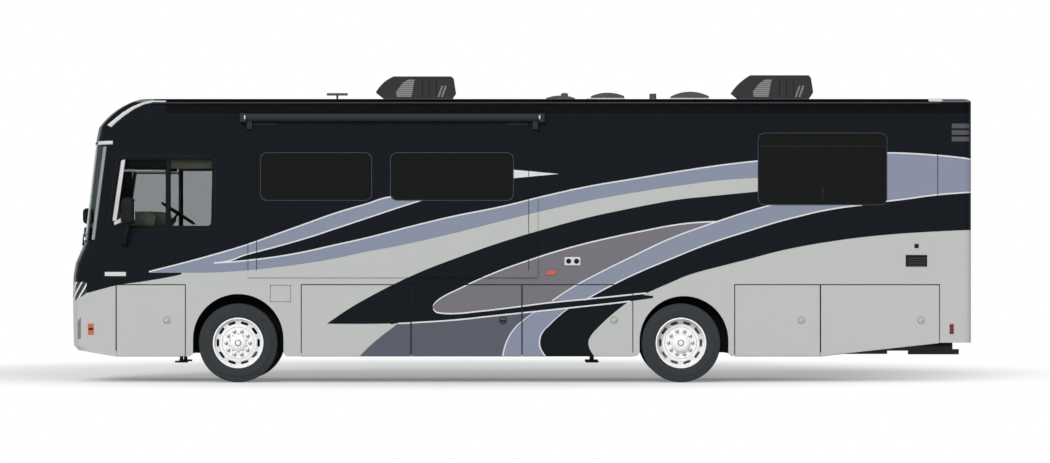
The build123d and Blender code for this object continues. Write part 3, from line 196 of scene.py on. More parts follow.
# Edges of the lowest shapes, which stand too steeply for that: points (row, column).
STEEP_EDGES = {
    "slate_front": [(322, 400), (326, 394.7), (334, 384), (343.5, 372.5), (350, 365.6), (357, 359)],
    "slate_back": [(306, 546), (313, 533.4), (320, 523.6), (327.8, 515), (341.7, 506.6), (357, 502.6)],
    "hook_front": [(301, 584), (308.4, 568.6), (317, 557.6), (326, 548.2), (332, 542.6), (340, 539.6),
                   (347, 540), (352, 542.4), (357, 546)],
    "hook_back": [(300, 631), (308, 620), (318, 608), (328, 597.6), (335, 591.4), (341, 588.6),
                  (347, 589), (352, 591.4), (357, 595)],
}


def edge_value(tree, along, points):
    """The other coordinate of a stripe edge at the coordinate along: a curve through its points."""
    low, high = points[0][0], points[-1][0]
    values = [p[1] for p in points]
    base, span = min(values), max(max(values) - min(values), 1e-6)
    share = add(tree, "MapRange", [along, low, high])
    node = add(tree, "FloatCurve", [1.0, share])
    curve = node.mapping.curves[0]
    while len(curve.points) < len(points):
        curve.points.new(0.5, 0.5)
    for spot, (place, value) in zip(curve.points, points):
        spot.location = ((place - low) / (high - low), (value - base) / span)
    node.mapping.update()
    return add(tree, "Math", [node, span, base], operation="MULTIPLY_ADD")


# Fields of the paint, each over the ones before: colour, edges above it, edges below it, and its
# first and last column or steep edge.
FIELDS = [
    ("dark", "", "dark_foot", None, 181.6),
    ("dark", "", "blue_foot", 181.6, 758),
    ("dark", "", "dark_heel", 758, None),
    ("blue", "prong_top", "blue_foot", 181.6, 424),
    ("blue", "prong_top", "blue_foot", 149, 181.6),
    ("dark", "prong_foot", "sweep_top", 214, 424),
    ("blue", "sweep_top", "blue_foot", 424, 758),
    ("dark", "swoosh_top", "belly", 327, 653),
    ("dark", "swoosh_top", "dark_heel", 644.5, 758),
    ("silver", "dark_heel", "needle_top", 644, 653),
    ("slate", "belly", "", "slate_front", "slate_back"),
    ("blue", "belly", "", "slate_back", "hook_front"),
    ("dark", "belly", "", "hook_front", "hook_back"),
    ("grey", "leaf_top", "leaf_foot", 432.6, 646),
    ("grey", "leaf_top", "band_top", 646, 721),
    ("blue", "band_top", "band_foot leaf_foot", 549.8, 646),
    ("blue", "band_top", "band_foot", 646, 861),
    ("dark", "band_foot", "leaf_foot", 585, 646),
    ("dark", "band_foot", "dark_heel", 646, 902),
    ("blue", "tail_top", "tail_foot", 860, None),
]
# Pinstripes along the edges: edge, edges above them, first and last column.
PINSTRIPES = [
    ("prong_top", "", 149, 424), ("prong_foot", "", 214, 424), ("sweep_top", "", 214, 758),
    ("tail_top", "", 884, 975), ("tail_foot", "", 884, 975), ("leaf_top", "", 433, 718),
    ("leaf_foot", "", 433, 646), ("band_top", "", 552, 800), ("band_foot", "", 585, 862),
    ("belly", "", 398, 630), ("slate_back", "belly", 490, 560), ("hook_front", "belly", 530, 590),
]
# The darker band under the roof's edge: its last row and first column.
SHADE_BAND = (113.5, 165.5)
# The pale wedge behind the second slide window: first column, base, tip, middle row, half heights.
WEDGE = {"start": 505.0, "base": 512.9, "tip": 558.8, "row": 173.9, "rise": -4.2, "drop": 4.4}


def coach_paint(looks):
    """Acrylic enamel under clear coat: dark, deep and even, with crisp striping and a faint flake."""
    material, tree, shader = start_material(
        "Clearcoated_Acrylic_Enamel", looks.dark, 0.4, Specular_IOR_Level=0.04,
        Coat_Weight=0.05, Coat_Roughness=0.05, Coat_IOR=1.5)
    place = add(tree, "TexCoord")
    axes = add(tree, "SeparateXYZ", [place.outputs["Object"]])
    column = add(tree, "Math", [axes.outputs[0], 1 / DRAWING_UNIT, DRAWING_COLUMN], operation="MULTIPLY_ADD")
    row = add(tree, "Math", [axes.outputs[2], -1 / DRAWING_UNIT, DRAWING_ROW], operation="MULTIPLY_ADD")
    edges = {name: edge_value(tree, column, points) for name, points in EDGES.items()}
    edges.update({name: edge_value(tree, row, points) for name, points in STEEP_EDGES.items()})

    def mask(tops, feet, first, last, start=None):
        """1 where a place passes the start, if any, and lies below the tops, above the feet and
        between first and last."""
        tests = [] if start is None else [start]
        tests += [add(tree, "Math", [row, edges[name]], operation="GREATER_THAN") for name in tops.split()]
        tests += [add(tree, "Math", [row, edges[name]], operation="LESS_THAN") for name in feet.split()]
        tests += [add(tree, "Math", [column, edges.get(limit, limit)], operation=way)
                  for way, limit in (("GREATER_THAN", first), ("LESS_THAN", last)) if limit is not None]
        total = tests[0]
        for test in tests[1:]:
            total = add(tree, "Math", [total, test], operation="MULTIPLY")
        return total

    layers = [(name, mask(*limits)) for name, *limits in FIELDS]
    half_line = looks.line_width / 2 / DRAWING_UNIT
    for edge, tops, first, last in PINSTRIPES:
        across = column if edge in STEEP_EDGES else row
        near = add(tree, "Math", [across, edges[edge], half_line], operation="COMPARE")
        layers.append(("line", mask(tops, "", first, last, near)))
    reach = add(tree, "MapRange", [column, WEDGE["base"], WEDGE["tip"], 1.0, 0.0])
    for name in ("rise", "drop"):
        edges[name] = add(tree, "Math", [reach, WEDGE[name], WEDGE["row"]], operation="MULTIPLY_ADD")
    layers.append(("line", mask("rise", "drop", WEDGE["start"], None)))
    above = add(tree, "Math", [row, SHADE_BAND[0]], operation="LESS_THAN")
    layers.append(("shadow", mask("", "", SHADE_BAND[1], None, above)))
    tint = linear(looks.silver)
    for name, share in layers:
        tint = add(tree, "Mix", {0: share, 6: tint, 7: linear(getattr(looks, name))}, data_type="RGBA")

    # the lined inner side of a shell faces the middle of the coach
    middle = add(tree, "VectorMath", [place.outputs["Object"], (0.0, 0.0, 1.9)], operation="SUBTRACT")
    facing = add(tree, "VectorMath", [place.outputs["Normal"], middle], operation="DOT_PRODUCT")
    inner = add(tree, "Math", [facing, 0.0], operation="LESS_THAN")
    lined = add(tree, "Mix", {0: inner, 6: tint, 7: linear(looks.lining)}, data_type="RGBA")
    flake = add(tree, "TexNoise", {"Vector": place.outputs["Object"], "Scale": 900.0, "Detail": 1.0})
    shade = add(tree, "MapRange", {0: flake, 3: 0.96, 4: 1.04})
    add(tree, "VectorMath", {0: lined, "Scale": shade}, shader.inputs["Base Color"], operation="SCALE")
    peel = add(tree, "TexNoise", {"Vector": place.outputs["Object"], "Scale": 250.0})
    add(tree, "Bump", {"Strength": 0.04, "Distance": 0.001, "Height": peel}, shader.inputs["Coat Normal"])
    return material


def plain_material(name, dark, light, roughness, grain, bump, height, sockets=None):
    """A moulded, coated or cast surface: two close tones and a fine bump of a real grain size, its
    roughness wandering by 15 percent either way."""
    material, tree, shader = start_material(name, dark, roughness, **(sockets or {}))
    mottle(tree, shader, dark, light, grain, bump, height, (roughness * 0.85, min(1.0, roughness * 1.15)))
    return material


def privacy_glass():
    """Tempered glass dyed nearly black: smooth and opaque, with a faint reflection."""
    return start_material("Tempered_Privacy_Glass", "#0d0e0e", 0.03, Specular_IOR_Level=0.1, IOR=1.52)[0]


def clear_glass(name, tint, index):
    """Laminated safety glass with a tint, coated so that little is mirrored in it: a low index."""
    return start_material(name, tint, 0.0, Transmission_Weight=1.0, IOR=index)[0]


# ------------------------------------------------------------------------- shapes as grids
def grid(points, around=False, along=False, cap_start=False, cap_end=False):
    """Vertices and faces of a grid points[i, j]: quads between neighbours, closed around j or
    along i where asked, and a flat cap over the first or last row."""
    rows, width = points.shape[:2]
    vertices = points.reshape(-1, 3)
    index = np.arange(rows * width).reshape(rows, width)
    here = index if along else index[:-1]
    after = np.roll(index, -1, 0) if along else index[1:]
    if around:
        a, b, c, d = here, np.roll(here, -1, 1), np.roll(after, -1, 1), after
    else:
        a, b, c, d = here[:, :-1], here[:, 1:], after[:, 1:], after[:, :-1]
    faces = np.stack([a, b, c, d], -1).reshape(-1, 4).tolist()
    if cap_start:
        faces.append(index[0, ::-1].tolist())
    if cap_end:
        faces.append(index[-1].tolist())
    return vertices, faces


def piece(name, shapes, key, body="coach", smooth=40.0):
    """One mesh object from several (vertices, faces), with outward normals, in the finish of a
    key, riding on a body and smooth up to an angle in degrees."""
    vertices, faces, offset = [], [], 0
    for points, polygons in shapes:
        vertices.append(points)
        faces += [[corner + offset for corner in polygon] for polygon in polygons]
        offset += len(points)
    obj = mesh_object(name, np.concatenate(vertices), faces, finish(key))
    outward(obj.data)
    if smooth:
        obj.data.shade_smooth()
        obj.data.set_sharp_from_angle(angle=math.radians(smooth))
    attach(obj, body)
    return obj


def placed(name, data):
    """A new object of the scene."""
    obj = bpy.data.objects.new(name, data)
    bpy.context.scene.collection.objects.link(obj)
    return obj


def mesh_object(name, vertices, faces, material):
    """A new mesh object of the scene in one material."""
    mesh = bpy.data.meshes.new(name)
    mesh.from_pydata(vertices.tolist(), [], faces)
    mesh.materials.append(material)
    return placed(name, mesh)


def outward(mesh):
    """Turns every closed shell's faces outwards."""
    cage = bmesh.new()
    cage.from_mesh(mesh)
    bmesh.ops.recalc_face_normals(cage, faces=cage.faces)
    cage.to_mesh(mesh)
    cage.free()


def circle(count):
    """As many angles evenly round a full turn."""
    return np.linspace(0, 2 * math.pi, count, endpoint=False)


def rounded_rectangle(x0, x1, z0, z1, radius, steps=6):
    """Outline in X and Z: quarter circles of one radius about the four inset corners."""
    radius = min(radius, (x1 - x0) / 2 - 1e-5, (z1 - z0) / 2 - 1e-5)
    turn = np.linspace(0, math.pi / 2, steps)
    corners = [(x1 - radius, z1 - radius, 0), (x0 + radius, z1 - radius, 1),
               (x0 + radius, z0 + radius, 2), (x1 - radius, z0 + radius, 3)]
    parts = [np.stack([cx + radius * np.cos(turn + q * math.pi / 2),
                       cz + radius * np.sin(turn + q * math.pi / 2)], -1) for cx, cz, q in corners]
    return np.concatenate(parts)


def stand(outline, y):
    """Points of an X and Z outline, stood up at one Y."""
    return np.stack([outline[:, 0], np.full(len(outline), y), outline[:, 1]], -1)


def plate(box, corner, y_back, y_face, edge, steps=4):
    """A plate with rounded corners whose face edge is a quarter round: ring t of it is drawn in
    by edge (1 - cos t) and stands edge (1 - sin t) behind the face."""
    x0, x1, z0, z1 = box
    way = 1 if y_face > y_back else -1
    rings = [stand(rounded_rectangle(x0, x1, z0, z1, corner), y_back)]
    for t in np.linspace(0, math.pi / 2, steps):
        inset = edge * (1 - math.cos(t))
        outline = rounded_rectangle(x0 + inset, x1 - inset, z0 + inset, z1 - inset, corner - inset)
        rings.append(stand(outline, y_face - way * edge * (1 - math.sin(t))))
    return grid(np.stack(rings), around=True, cap_start=True, cap_end=True)


def band(outer, inner, y_back, y_face, round_share=0.35):
    """A frame between two outlines of as many points: a closed section with its two face edges
    drawn in by a share of its width, carried round the opening."""
    lean = outer + (inner - outer) * round_share
    lean_inner = inner + (outer - inner) * round_share
    half = y_face - (y_face - y_back) * round_share
    rings = [stand(outer, y_back), stand(outer, half), stand(lean, y_face), stand(lean_inner, y_face),
             stand(inner, half), stand(inner, y_back)]
    return grid(np.stack(rings), around=True, along=True)


def window_frame(box, corner, y_wall, proud, outside, inside):
    """Frame round a window with rounded corners, reaching outside and inside its edge."""
    x0, x1, z0, z1 = box
    way = 1 if y_wall > 0 else -1
    outer = rounded_rectangle(x0 - outside, x1 + outside, z0 - outside, z1 + outside, corner + outside)
    inner = rounded_rectangle(x0 + inside, x1 - inside, z0 + inside, z1 - inside, corner - inside)
    return band(outer, inner, y_wall - way * 0.003, y_wall + way * proud)


def turned(profile, centre, axis="y", steps=64, looped=False):
    """A lathe form: profile points (distance along the axis, radius) swung round the axis; the
    point at angle a is centre + along * axis + radius (cos a, sin a) in the plane across it. A
    looped profile closes on itself clear of the axis, and any other gets flat ends."""
    angles = circle(steps)
    along, radius = np.array(profile, float).T
    cos, sin = np.cos(angles)[None, :], np.sin(angles)[None, :]
    flat = np.broadcast_to(along[:, None], (len(along), steps))
    first, second = radius[:, None] * cos, radius[:, None] * sin
    order = {"x": (flat, first, second), "y": (second, flat, first), "z": (first, second, flat)}
    points = np.stack(order[axis], -1) + np.array(centre, float)
    return grid(points, around=True, along=looped, cap_start=not looped, cap_end=not looped)


def slab(outline, y_back, y_face, edge=0.003):
    """A plate with any outline in X and Z, whose face is drawn in towards its middle by edge."""
    outline = np.array(outline, float)
    inward = outline.mean(0) - outline
    inward *= edge / np.linalg.norm(inward, axis=1)[:, None]
    shoulder = y_face - math.copysign(edge, y_face - y_back)
    rings = [stand(outline, y_back), stand(outline, shoulder), stand(outline + inward, y_face)]
    return grid(np.stack(rings), around=True, cap_start=True, cap_end=True)


def drawn(points):
    """X and Z of points given as columns and rows of the side drawing."""
    points = np.array(points, float)
    return np.stack([side_x(points[..., 0]), side_z(points[..., 1])], -1)


def drawn_box(left, right, top, foot):
    """Low X, high X, low Z and high Z between columns and rows of the side drawing."""
    return side_x(left), side_x(right), side_z(foot), side_z(top)


def side_plate(left, right, top, foot, proud, corner=0.008, y_wall=None, edge=0.003, sunk=0.004):
    """A plate on the driver's side between columns and rows of the side drawing."""
    y_wall = SIDE_Y if y_wall is None else y_wall
    return plate(drawn_box(left, right, top, foot), corner, y_wall + sunk, y_wall - proud, edge)


def rounded_outline(corners, radius, steps=7):
    """A convex outline with rounded corners: each corner gives way to the curve
    (1 - t)^2 a + 2 t (1 - t) corner + t^2 b between points a and b at the radius from it."""
    corners = np.array(corners, float)
    back, ahead = np.roll(corners, 1, 0) - corners, np.roll(corners, -1, 0) - corners
    a = corners + radius * back / np.linalg.norm(back, axis=1)[:, None]
    b = corners + radius * ahead / np.linalg.norm(ahead, axis=1)[:, None]
    t = np.linspace(0, 1, steps)[None, :, None]
    curve = (1 - t) ** 2 * a[:, None] + 2 * t * (1 - t) * corners[:, None] + t ** 2 * b[:, None]
    return curve.reshape(-1, 2)


def inset(outline, distance):
    """An outline moved inwards by a distance along the normals of its neighbours' chords."""
    chord = np.roll(outline, -1, 0) - np.roll(outline, 1, 0)
    normal = np.stack([-chord[:, 1], chord[:, 0]], -1)
    normal /= np.linalg.norm(normal, axis=1)[:, None]
    inward = np.sign(((outline.mean(0) - outline) * normal).sum(1))[:, None]
    return outline + distance * normal * inward


def resampled(points, count):
    """As many points spread evenly along a broken line."""
    points = np.array(points, float)
    run = np.concatenate([[0.0], np.cumsum(np.linalg.norm(np.diff(points, axis=0), axis=1))])
    spots = np.linspace(0, run[-1], count)
    return np.stack([np.interp(spots, run, points[:, k]) for k in range(points.shape[1])], -1)


# Nose of the shell: heights and centreline X of its sections, which are straight in between.
NOSE_Z = np.array([0.312, 0.383, 0.440, 1.005, 1.268, 1.426, 1.663, 2.881, 3.052])
NOSE_X = np.array([-5.330, -5.336, -5.390, -5.400, -5.393, -5.366, -5.262, -5.120, -5.086])
NOSE_BOW, NOSE_CORNER = 8.0, 0.130


def nose_front(y, z):
    """X of the nose at Y and Z: an arc of the bow radius about the centreline."""
    return np.interp(z, NOSE_Z, NOSE_X) + NOSE_BOW - np.sqrt(NOSE_BOW ** 2 - np.square(y))


def nose_line(y, z, back):
    """Points at Y and Z, a distance back from the nose."""
    return np.stack([nose_front(y, z) + back, y, z], -1)


def nose_side(x, z):
    """Y of the driver's side at X and Z: flat, then round the nose's corner, a circle that
    touches both the side and the bow."""
    span = -SIDE_Y - NOSE_CORNER
    corner_x = np.interp(z, NOSE_Z, NOSE_X) + NOSE_BOW - math.sqrt((NOSE_BOW - NOSE_CORNER) ** 2 - span ** 2)
    ahead = np.minimum(x - corner_x, 0.0)
    return -(span + np.sqrt(np.maximum(NOSE_CORNER ** 2 - ahead ** 2, 0.0)))


def skin_strip(first, second, proud=0.006, depth=0.012, count=24, across=9):
    """A strip on the driver's side of the nose between two edges of the side drawing: at share t
    across, its face stands proud (sin pi t)^0.4 off the skin and its back lies depth inside."""
    first, second = resampled(first, count), resampled(second, count)
    share = np.linspace(0, 1, across)[None, :]
    flat = drawn(first[:, None] * (1 - share[..., None]) + second[:, None] * share[..., None])
    x, z = flat[..., 0], flat[..., 1]
    skin = nose_side(x, z)
    face = np.stack([x, skin - proud * np.sin(math.pi * share) ** 0.4, z], -1)
    back = np.stack([x, skin + depth, z], -1)[:, ::-1]
    return grid(np.concatenate([face, back], 1), around=True, cap_start=True, cap_end=True)


def pad(centre, half, lean=0.0, square=0.35, around=64, up=33, channels=0.55):
    """A crowned pad: centre + half (c(v) c(u), c(v) s(u), s(v)), where c and s are the cosine and
    sine raised to the power square with their signs kept; two sewn channels pinch it along its
    length, and it is leaned back about Y."""
    u = np.linspace(-math.pi, math.pi, around, endpoint=False)[None, :]
    v = np.linspace(-math.pi / 2 + 0.02, math.pi / 2 - 0.02, up)[:, None]

    def eased(value):
        return np.sign(value) * np.abs(value) ** square

    x, y, z = np.broadcast_arrays(eased(np.cos(v)) * eased(np.cos(u)), eased(np.cos(v)) * eased(np.sin(u)),
                                  eased(np.sin(v)))
    pinch = 1 - 0.09 * np.exp(-((np.abs(y) - channels) / 0.045) ** 2)
    crown = 0.88 + 0.12 * np.cos(math.pi / 2 * x) * np.cos(math.pi / 2 * y)
    local = np.stack([half[0] * x, half[1] * y, half[2] * z * pinch * crown], -1)
    cos, sin = math.cos(lean), math.sin(lean)
    turn = np.array([(cos, 0, -sin), (0, 1, 0), (sin, 0, cos)])
    return grid(local @ turn + np.array(centre), around=True, cap_start=True, cap_end=True)


def sweep(path, radius, sides=10, closed=False):
    """A round bar along a path: circles across its direction, each frame leaned off one fixed
    up vector; radius may be one value or one for each point."""
    path = np.array(path, float)
    ahead = np.roll(path, -1, 0) - np.roll(path, 1, 0)
    if not closed:
        ahead[0], ahead[-1] = path[1] - path[0], path[-1] - path[-2]
    ahead /= np.linalg.norm(ahead, axis=1)[:, None]
    up = np.array([0.0213, 0.0171, 1.0]) if abs(ahead[0, 2]) < 0.9 else np.array([1.0, 0.0131, 0.0])
    side = np.cross(ahead, up)
    side /= np.linalg.norm(side, axis=1)[:, None]
    top = np.cross(side, ahead)
    turn = circle(sides)
    radii = np.broadcast_to(np.array(radius, float), (len(path),))[:, None, None]
    points = path[:, None] + radii * (side[:, None] * np.cos(turn)[None, :, None]
                                      + top[:, None] * np.sin(turn)[None, :, None])
    return grid(points, around=True, along=closed, cap_start=not closed, cap_end=not closed)


def swap(shape, first, second):
    """The same shape with two of its axes exchanged."""
    points = shape[0].copy()
    points[:, [first, second]] = points[:, [second, first]]
    return points, shape[1]


def mirrored(shape):
    """The shape on the other side of the coach."""
    return shape[0] * np.array([1.0, -1.0, 1.0]), shape[1]


def both(*shapes):
    """Each shape and its mirror image."""
    return [twin for shape in shapes for twin in (shape, mirrored(shape))]


def dress(material, *nodes):
    """Gives CAD nodes one finish."""
    for name in nodes:
        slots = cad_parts[name].data.materials
        slots.clear()
        slots.append(material)


# ------------------------------------------------------------------------- sizes and colours
def metres(name, description, default):
    """A length in metres."""
    return FloatProperty(name=name, description=description, default=default, unit="LENGTH")


def hex_colour(name, description, default):
    """A colour written as an sRGB hex."""
    return StringProperty(name=name, description=description + ", sRGB hex", default=default)


class PaintLooks(bpy.types.PropertyGroup):
    dark: hex_colour("Dark", "Main dark blue-black", "#0f151b")
    silver: hex_colour("Silver", "Lower body silver", "#c1c3c0")
    blue: hex_colour("Blue", "Lavender blue stripe", "#8b92a5")
    grey: hex_colour("Grey", "Grey leaf", "#78757d")
    slate: hex_colour("Slate", "Lowest grey patch", "#5d606b")
    line: hex_colour("Line", "Pinstripes", "#dfe1e2")
    shadow: hex_colour("Shadow", "Band under the roof's edge", "#020409")
    lining: hex_colour("Lining", "Inner wall panels", "#8d867b")
    line_width: metres("Line Width", "Height of a pinstripe", 0.017)


class TrimLooks(bpy.types.PropertyGroup):
    frame_out: metres("Frame Outside", "How far a window frame laps the wall", 0.022)
    frame_in: metres("Frame Inside", "How far a window frame laps the glass", 0.016)
    frame_proud: metres("Frame Proud", "How far a window frame stands out", 0.007)
    window_corner: metres("Window Corner", "Corner radius of the windows", 0.075)


class StageLooks(bpy.types.PropertyGroup):
    camera_distance: metres("Camera Distance", "From the near side wall", 75.8)
    camera_height: metres("Camera Height", "Above the floor", EYE_Z)
    camera_x: metres("Camera X", "Along the coach", 0.069)
    picture_width: IntProperty(name="Picture Width", description="Width of the picture", default=1050)
    picture_height: IntProperty(name="Picture Height", description="Height of the picture", default=463)
    horizon_row: FloatProperty(name="Horizon Row", description="Row of the horizon", default=EYE_ROW)
    key: FloatProperty(name="Key", description="Light of the side lamp on a face turned to it", default=0.53)
    key_height: FloatProperty(name="Key Height", description="Angle of the side lamp above the floor",
                              default=math.radians(25), subtype="ANGLE")
    top: FloatProperty(name="Top", description="Light of the overhead lamp on the floor", default=0.15)
    fill: FloatProperty(name="Fill", description="Strength of the even light from the room", default=0.3)


# Moulded, cast and coated finishes: name, darker tone, lighter tone, roughness, grain size in
# metres, strength and height of the bump, and other inputs of the shader.
FINISHES = {
    # black ABS, moulded with a fine grain: dark, satin, softly lit at its edges
    "black_abs": ("Moulded_Black_ABS", "#0f1114", "#17191c", 0.5, 0.004, 0.15, 0.0003,
                  {"Specular_IOR_Level": 0.1}),
    # dark grey ASA, vacuum formed: matt and even, made to stand in the sun
    "grey_asa": ("Formed_Grey_ASA", "#242525", "#2d2e2e", 0.65, 0.01, 0.1, 0.0004,
                 {"Specular_IOR_Level": 0.3}),
    # white ABS, moulded: bright and slightly glossy
    "white_abs": ("Moulded_White_ABS", "#cdcecd", "#dcdddc", 0.4, 0.02, 0.05, 0.0003),
    # smoked polycarbonate domes of the roof vents: dark grey, half matt
    "vent_dome": ("Smoked_Polycarbonate", "#343736", "#434644", 0.55, 0.05, 0.03, 0.0003),
    # carbon-black tyre rubber: matt, a little dusty
    "tyre_rubber": ("Vulcanised_Rubber", "#23272a", "#2c3033", 0.85, 0.012, 0.25, 0.0006),
    # EPDM gasket rubber: deep black, satin
    "gasket": ("Extruded_EPDM", "#0b0c0d", "#121315", 0.6, 0.01, 0.1, 0.0003, {"Specular_IOR_Level": 0.08}),
    # black anodised aluminium: fine satin that catches a thin light on its edges
    "anodised": ("Black_Anodised_Aluminium", "#141517", "#1d1f22", 0.35, 0.02, 0.05, 0.0002,
                 {"Metallic": 0.2, "Specular_IOR_Level": 0.2}),
    # grey beads round the windows, a painted highlight along the frames' edges, and the tail's head strips:
    # dark grey, satin
    "bead": ("Grey_Bead_Painted_Highlight", "#474a4b", "#54575a", 0.5, 0.02, 0.05, 0.0002,
             {"Specular_IOR_Level": 0.1}),
    # forged aluminium, polished: nearly white where it faces the light; the near-white base colour is a
    # painted reflection of the white room, over a little real mirror
    "polished": ("Polished_Aluminium_Painted_Reflection", "#f2f2f3", "#fbfbfb", 0.3, 0.05, 0.06, 0.0004, {"Metallic": 0.3}),
    # chromium plate: a clean bright mirror
    "chrome": ("Chromium_Plate", "#dfe1e3", "#f0f1f2", 0.1, 0.1, 0.0, 0.0, {"Metallic": 1.0}),
    # zinc-plated steel nuts and latches: pale grey, half bright; on the wheels the nuts' grey, darker than
    # the white discs, is partly painted shade
    "zinc": ("Zinc_Steel_And_Painted_Nut_Shade", "#8f9294", "#a8abad", 0.35, 0.01, 0.1, 0.0003, {"Metallic": 0.6}),
    # silvered mirror glass: a cool bright mirror
    "mirror_glass": ("Silvered_Mirror_Glass", "#a9b8b8", "#b2c0c0", 0.03, 0.2, 0.0, 0.0, {"Metallic": 1.0}),
    # hot-rolled steel with black chassis enamel: dull, slightly uneven
    "chassis": ("Black_Enamelled_Steel", "#18191a", "#232425", 0.6, 0.05, 0.3, 0.0008),
    # cast iron and alloy under thin paint: dark grey, rough, granular
    "cast_iron": ("Painted_Cast_Iron", "#26282a", "#37393b", 0.7, 0.008, 0.5, 0.001),
    # carpet-faced lining of the luggage bays: matt, fuzzy
    "bay_lining": ("Needled_Storage_Lining", "#3c3d3f", "#4a4b4d", 0.95, 0.004, 0.6, 0.001),
    # painted reflection down each curved side edge of the windshield: blue grey, satin
    "windshield_reflection": ("Painted_Windshield_Edge_Reflection", "#868b90", "#94999e", 0.4, 0.05, 0.05, 0.0003),
    # dull grey grooves and rings turned into the wheel discs, their grey painted shade, and the fog lamps'
    # surrounds
    "wheel_ring": ("Groove_Shade_And_Fog_Surround", "#6b6d70", "#808386", 0.5, 0.01, 0.1, 0.0003),
    # body-coloured service panel: even silver enamel
    "panel_silver": ("Silver_Enamel_Panel", "#bdbfbc", "#c0c2bf", 0.45, 0.02, 0.03, 0.0002,
                     {"Specular_IOR_Level": 0.2}),
    # rubber seals along the edges of the bay doors: dull dark grey
    "door_seal": ("Moulded_Door_Seal", "#222324", "#2c2d2e", 0.8, 0.02, 0.05, 0.0003,
                  {"Specular_IOR_Level": 0.05}),
    # slats of the tail vents: dark grey, moulded
    "louvre_slat": ("Moulded_Vent_Slats", "#36393c", "#44474b", 0.6, 0.02, 0.05, 0.0003),
    # soft grained dashboard skin over foam: olive grey, matt
    "dash_skin": ("Slush_Moulded_Dash_Skin", "#6a6c5e", "#787a6c", 0.7, 0.003, 0.3, 0.0004),
    # pale trim panels of the cab: satin, off white
    "cab_trim": ("Moulded_Cab_Trim", "#cfcfd2", "#d9d9dc", 0.5, 0.05, 0.1, 0.0005),
    # dark green-grey curtain board and shade cases of the cab: dull
    "shade_case": ("Wrapped_Shade_Case", "#202322", "#2a2d2c", 0.7, 0.01, 0.2, 0.0005,
                   {"Specular_IOR_Level": 0.1}),
    # stamped aluminium of a blank plate: pale, even, faintly grained
    "blank_plate": ("Stamped_Aluminium_Plate", "#d3d5d6", "#dcdddd", 0.4, 0.02, 0.05, 0.0003),
}


def awning_fabric():
    """Coated acrylic awning cloth on its roller: black-blue, with a weave drawn ten times too coarse
    so that it shows."""
    material, tree, shader = start_material("Rolled_Acrylic_Cloth", "#12161c", 0.8)
    place = mottle(tree, shader, "#0e1218", "#181d24", 0.05)
    weave = add(tree, "TexWave", {"Vector": place, "Scale": 40.0, "Distortion": 0.5}, bands_direction="X")
    add(tree, "Bump", {"Strength": 0.3, "Distance": 0.0005, "Height": weave}, shader.inputs["Normal"])
    return material


def seat_vinyl():
    """Soft grained vinyl with a leather print: warm grey, creased pebbles a few millimetres wide."""
    material, tree, shader = start_material("Grained_Seat_Vinyl", "#4a4541", 0.5)
    place = mottle(tree, shader, "#3f3b38", "#544f4a", 0.06, rough=(0.42, 0.58))
    pebbles = add(tree, "TexVoronoi", {"Vector": place, "Scale": 260.0})
    add(tree, "Bump", {"Strength": 0.3, "Distance": 0.0006, "Height": pebbles}, shader.inputs["Normal"])
    return material


def floor_vinyl():
    """Printed vinyl planks over plywood: warm brown, wood grain along the coach."""
    material, tree, shader = start_material("Vinyl_Plank_Floor", "#7a6650", 0.45)
    place = add(tree, "TexCoord").outputs["Object"]
    stretch = add(tree, "Mapping", {"Vector": place, "Scale": (0.8, 9.0, 1.0)})
    grain = add(tree, "TexNoise", {"Vector": stretch, "Scale": 6.0, "Detail": 6.0})
    add(tree, "Mix", {0: grain, 6: linear("#5f4d3a"), 7: linear("#927b60")}, shader.inputs["Base Color"],
        data_type="RGBA")
    return material


def lens(name, colour):
    """Moulded acrylic lamp lens: saturated colour, glossy, ribbed inside."""
    material, tree, shader = start_material(name, colour, 0.15, Coat_Weight=0.5)
    place = add(tree, "TexCoord").outputs["Object"]
    ribs = add(tree, "TexWave", {"Vector": place, "Scale": 22.0}, bands_direction="Z")
    add(tree, "Bump", {"Strength": 0.3, "Distance": 0.002, "Height": ribs}, shader.inputs["Normal"])
    return material


def banded(name, pale, dark, axes, spacing, share, roughness=0.3):
    """Straight bars of two tones: the distance along axes is cut into bars a spacing apart, of
    which a share is pale."""
    material, tree, shader = start_material(name, pale, roughness)
    place = add(tree, "TexCoord").outputs["Object"]
    along = add(tree, "VectorMath", [place, axes], operation="DOT_PRODUCT")
    bars = add(tree, "Math", [along, spacing], operation="FLOORED_MODULO")
    lit = add(tree, "Math", [bars, spacing * share], operation="LESS_THAN")
    add(tree, "Mix", {0: lit, 6: linear(dark), 7: linear(pale)}, shader.inputs["Base Color"],
        data_type="RGBA")
    return material


def roof_skin():
    """Fibreglass roof: white gelcoat in the middle, painted dark along both sides, where it turns
    down into a grey rain gutter."""
    material, tree, shader = start_material("Painted_Roof_Fibreglass", "#cfd0ce", 0.7,
                                            Specular_IOR_Level=0.0)
    axes = add(tree, "SeparateXYZ", [add(tree, "TexCoord").outputs["Object"]])
    side = add(tree, "Math", [axes.outputs[1]], operation="ABSOLUTE")
    white_half = 0.50
    edge = add(tree, "Math", [side, white_half], operation="GREATER_THAN")
    skin = add(tree, "Mix", {0: edge, 6: linear("#cfd0ce"), 7: linear("#0c0f11")}, data_type="RGBA")
    gutter = add(tree, "Math", [side, -SIDE_Y + 0.0005], operation="GREATER_THAN")
    add(tree, "Mix", {0: gutter, 6: skin, 7: linear("#444744")}, shader.inputs["Base Color"],
        data_type="RGBA")
    return material


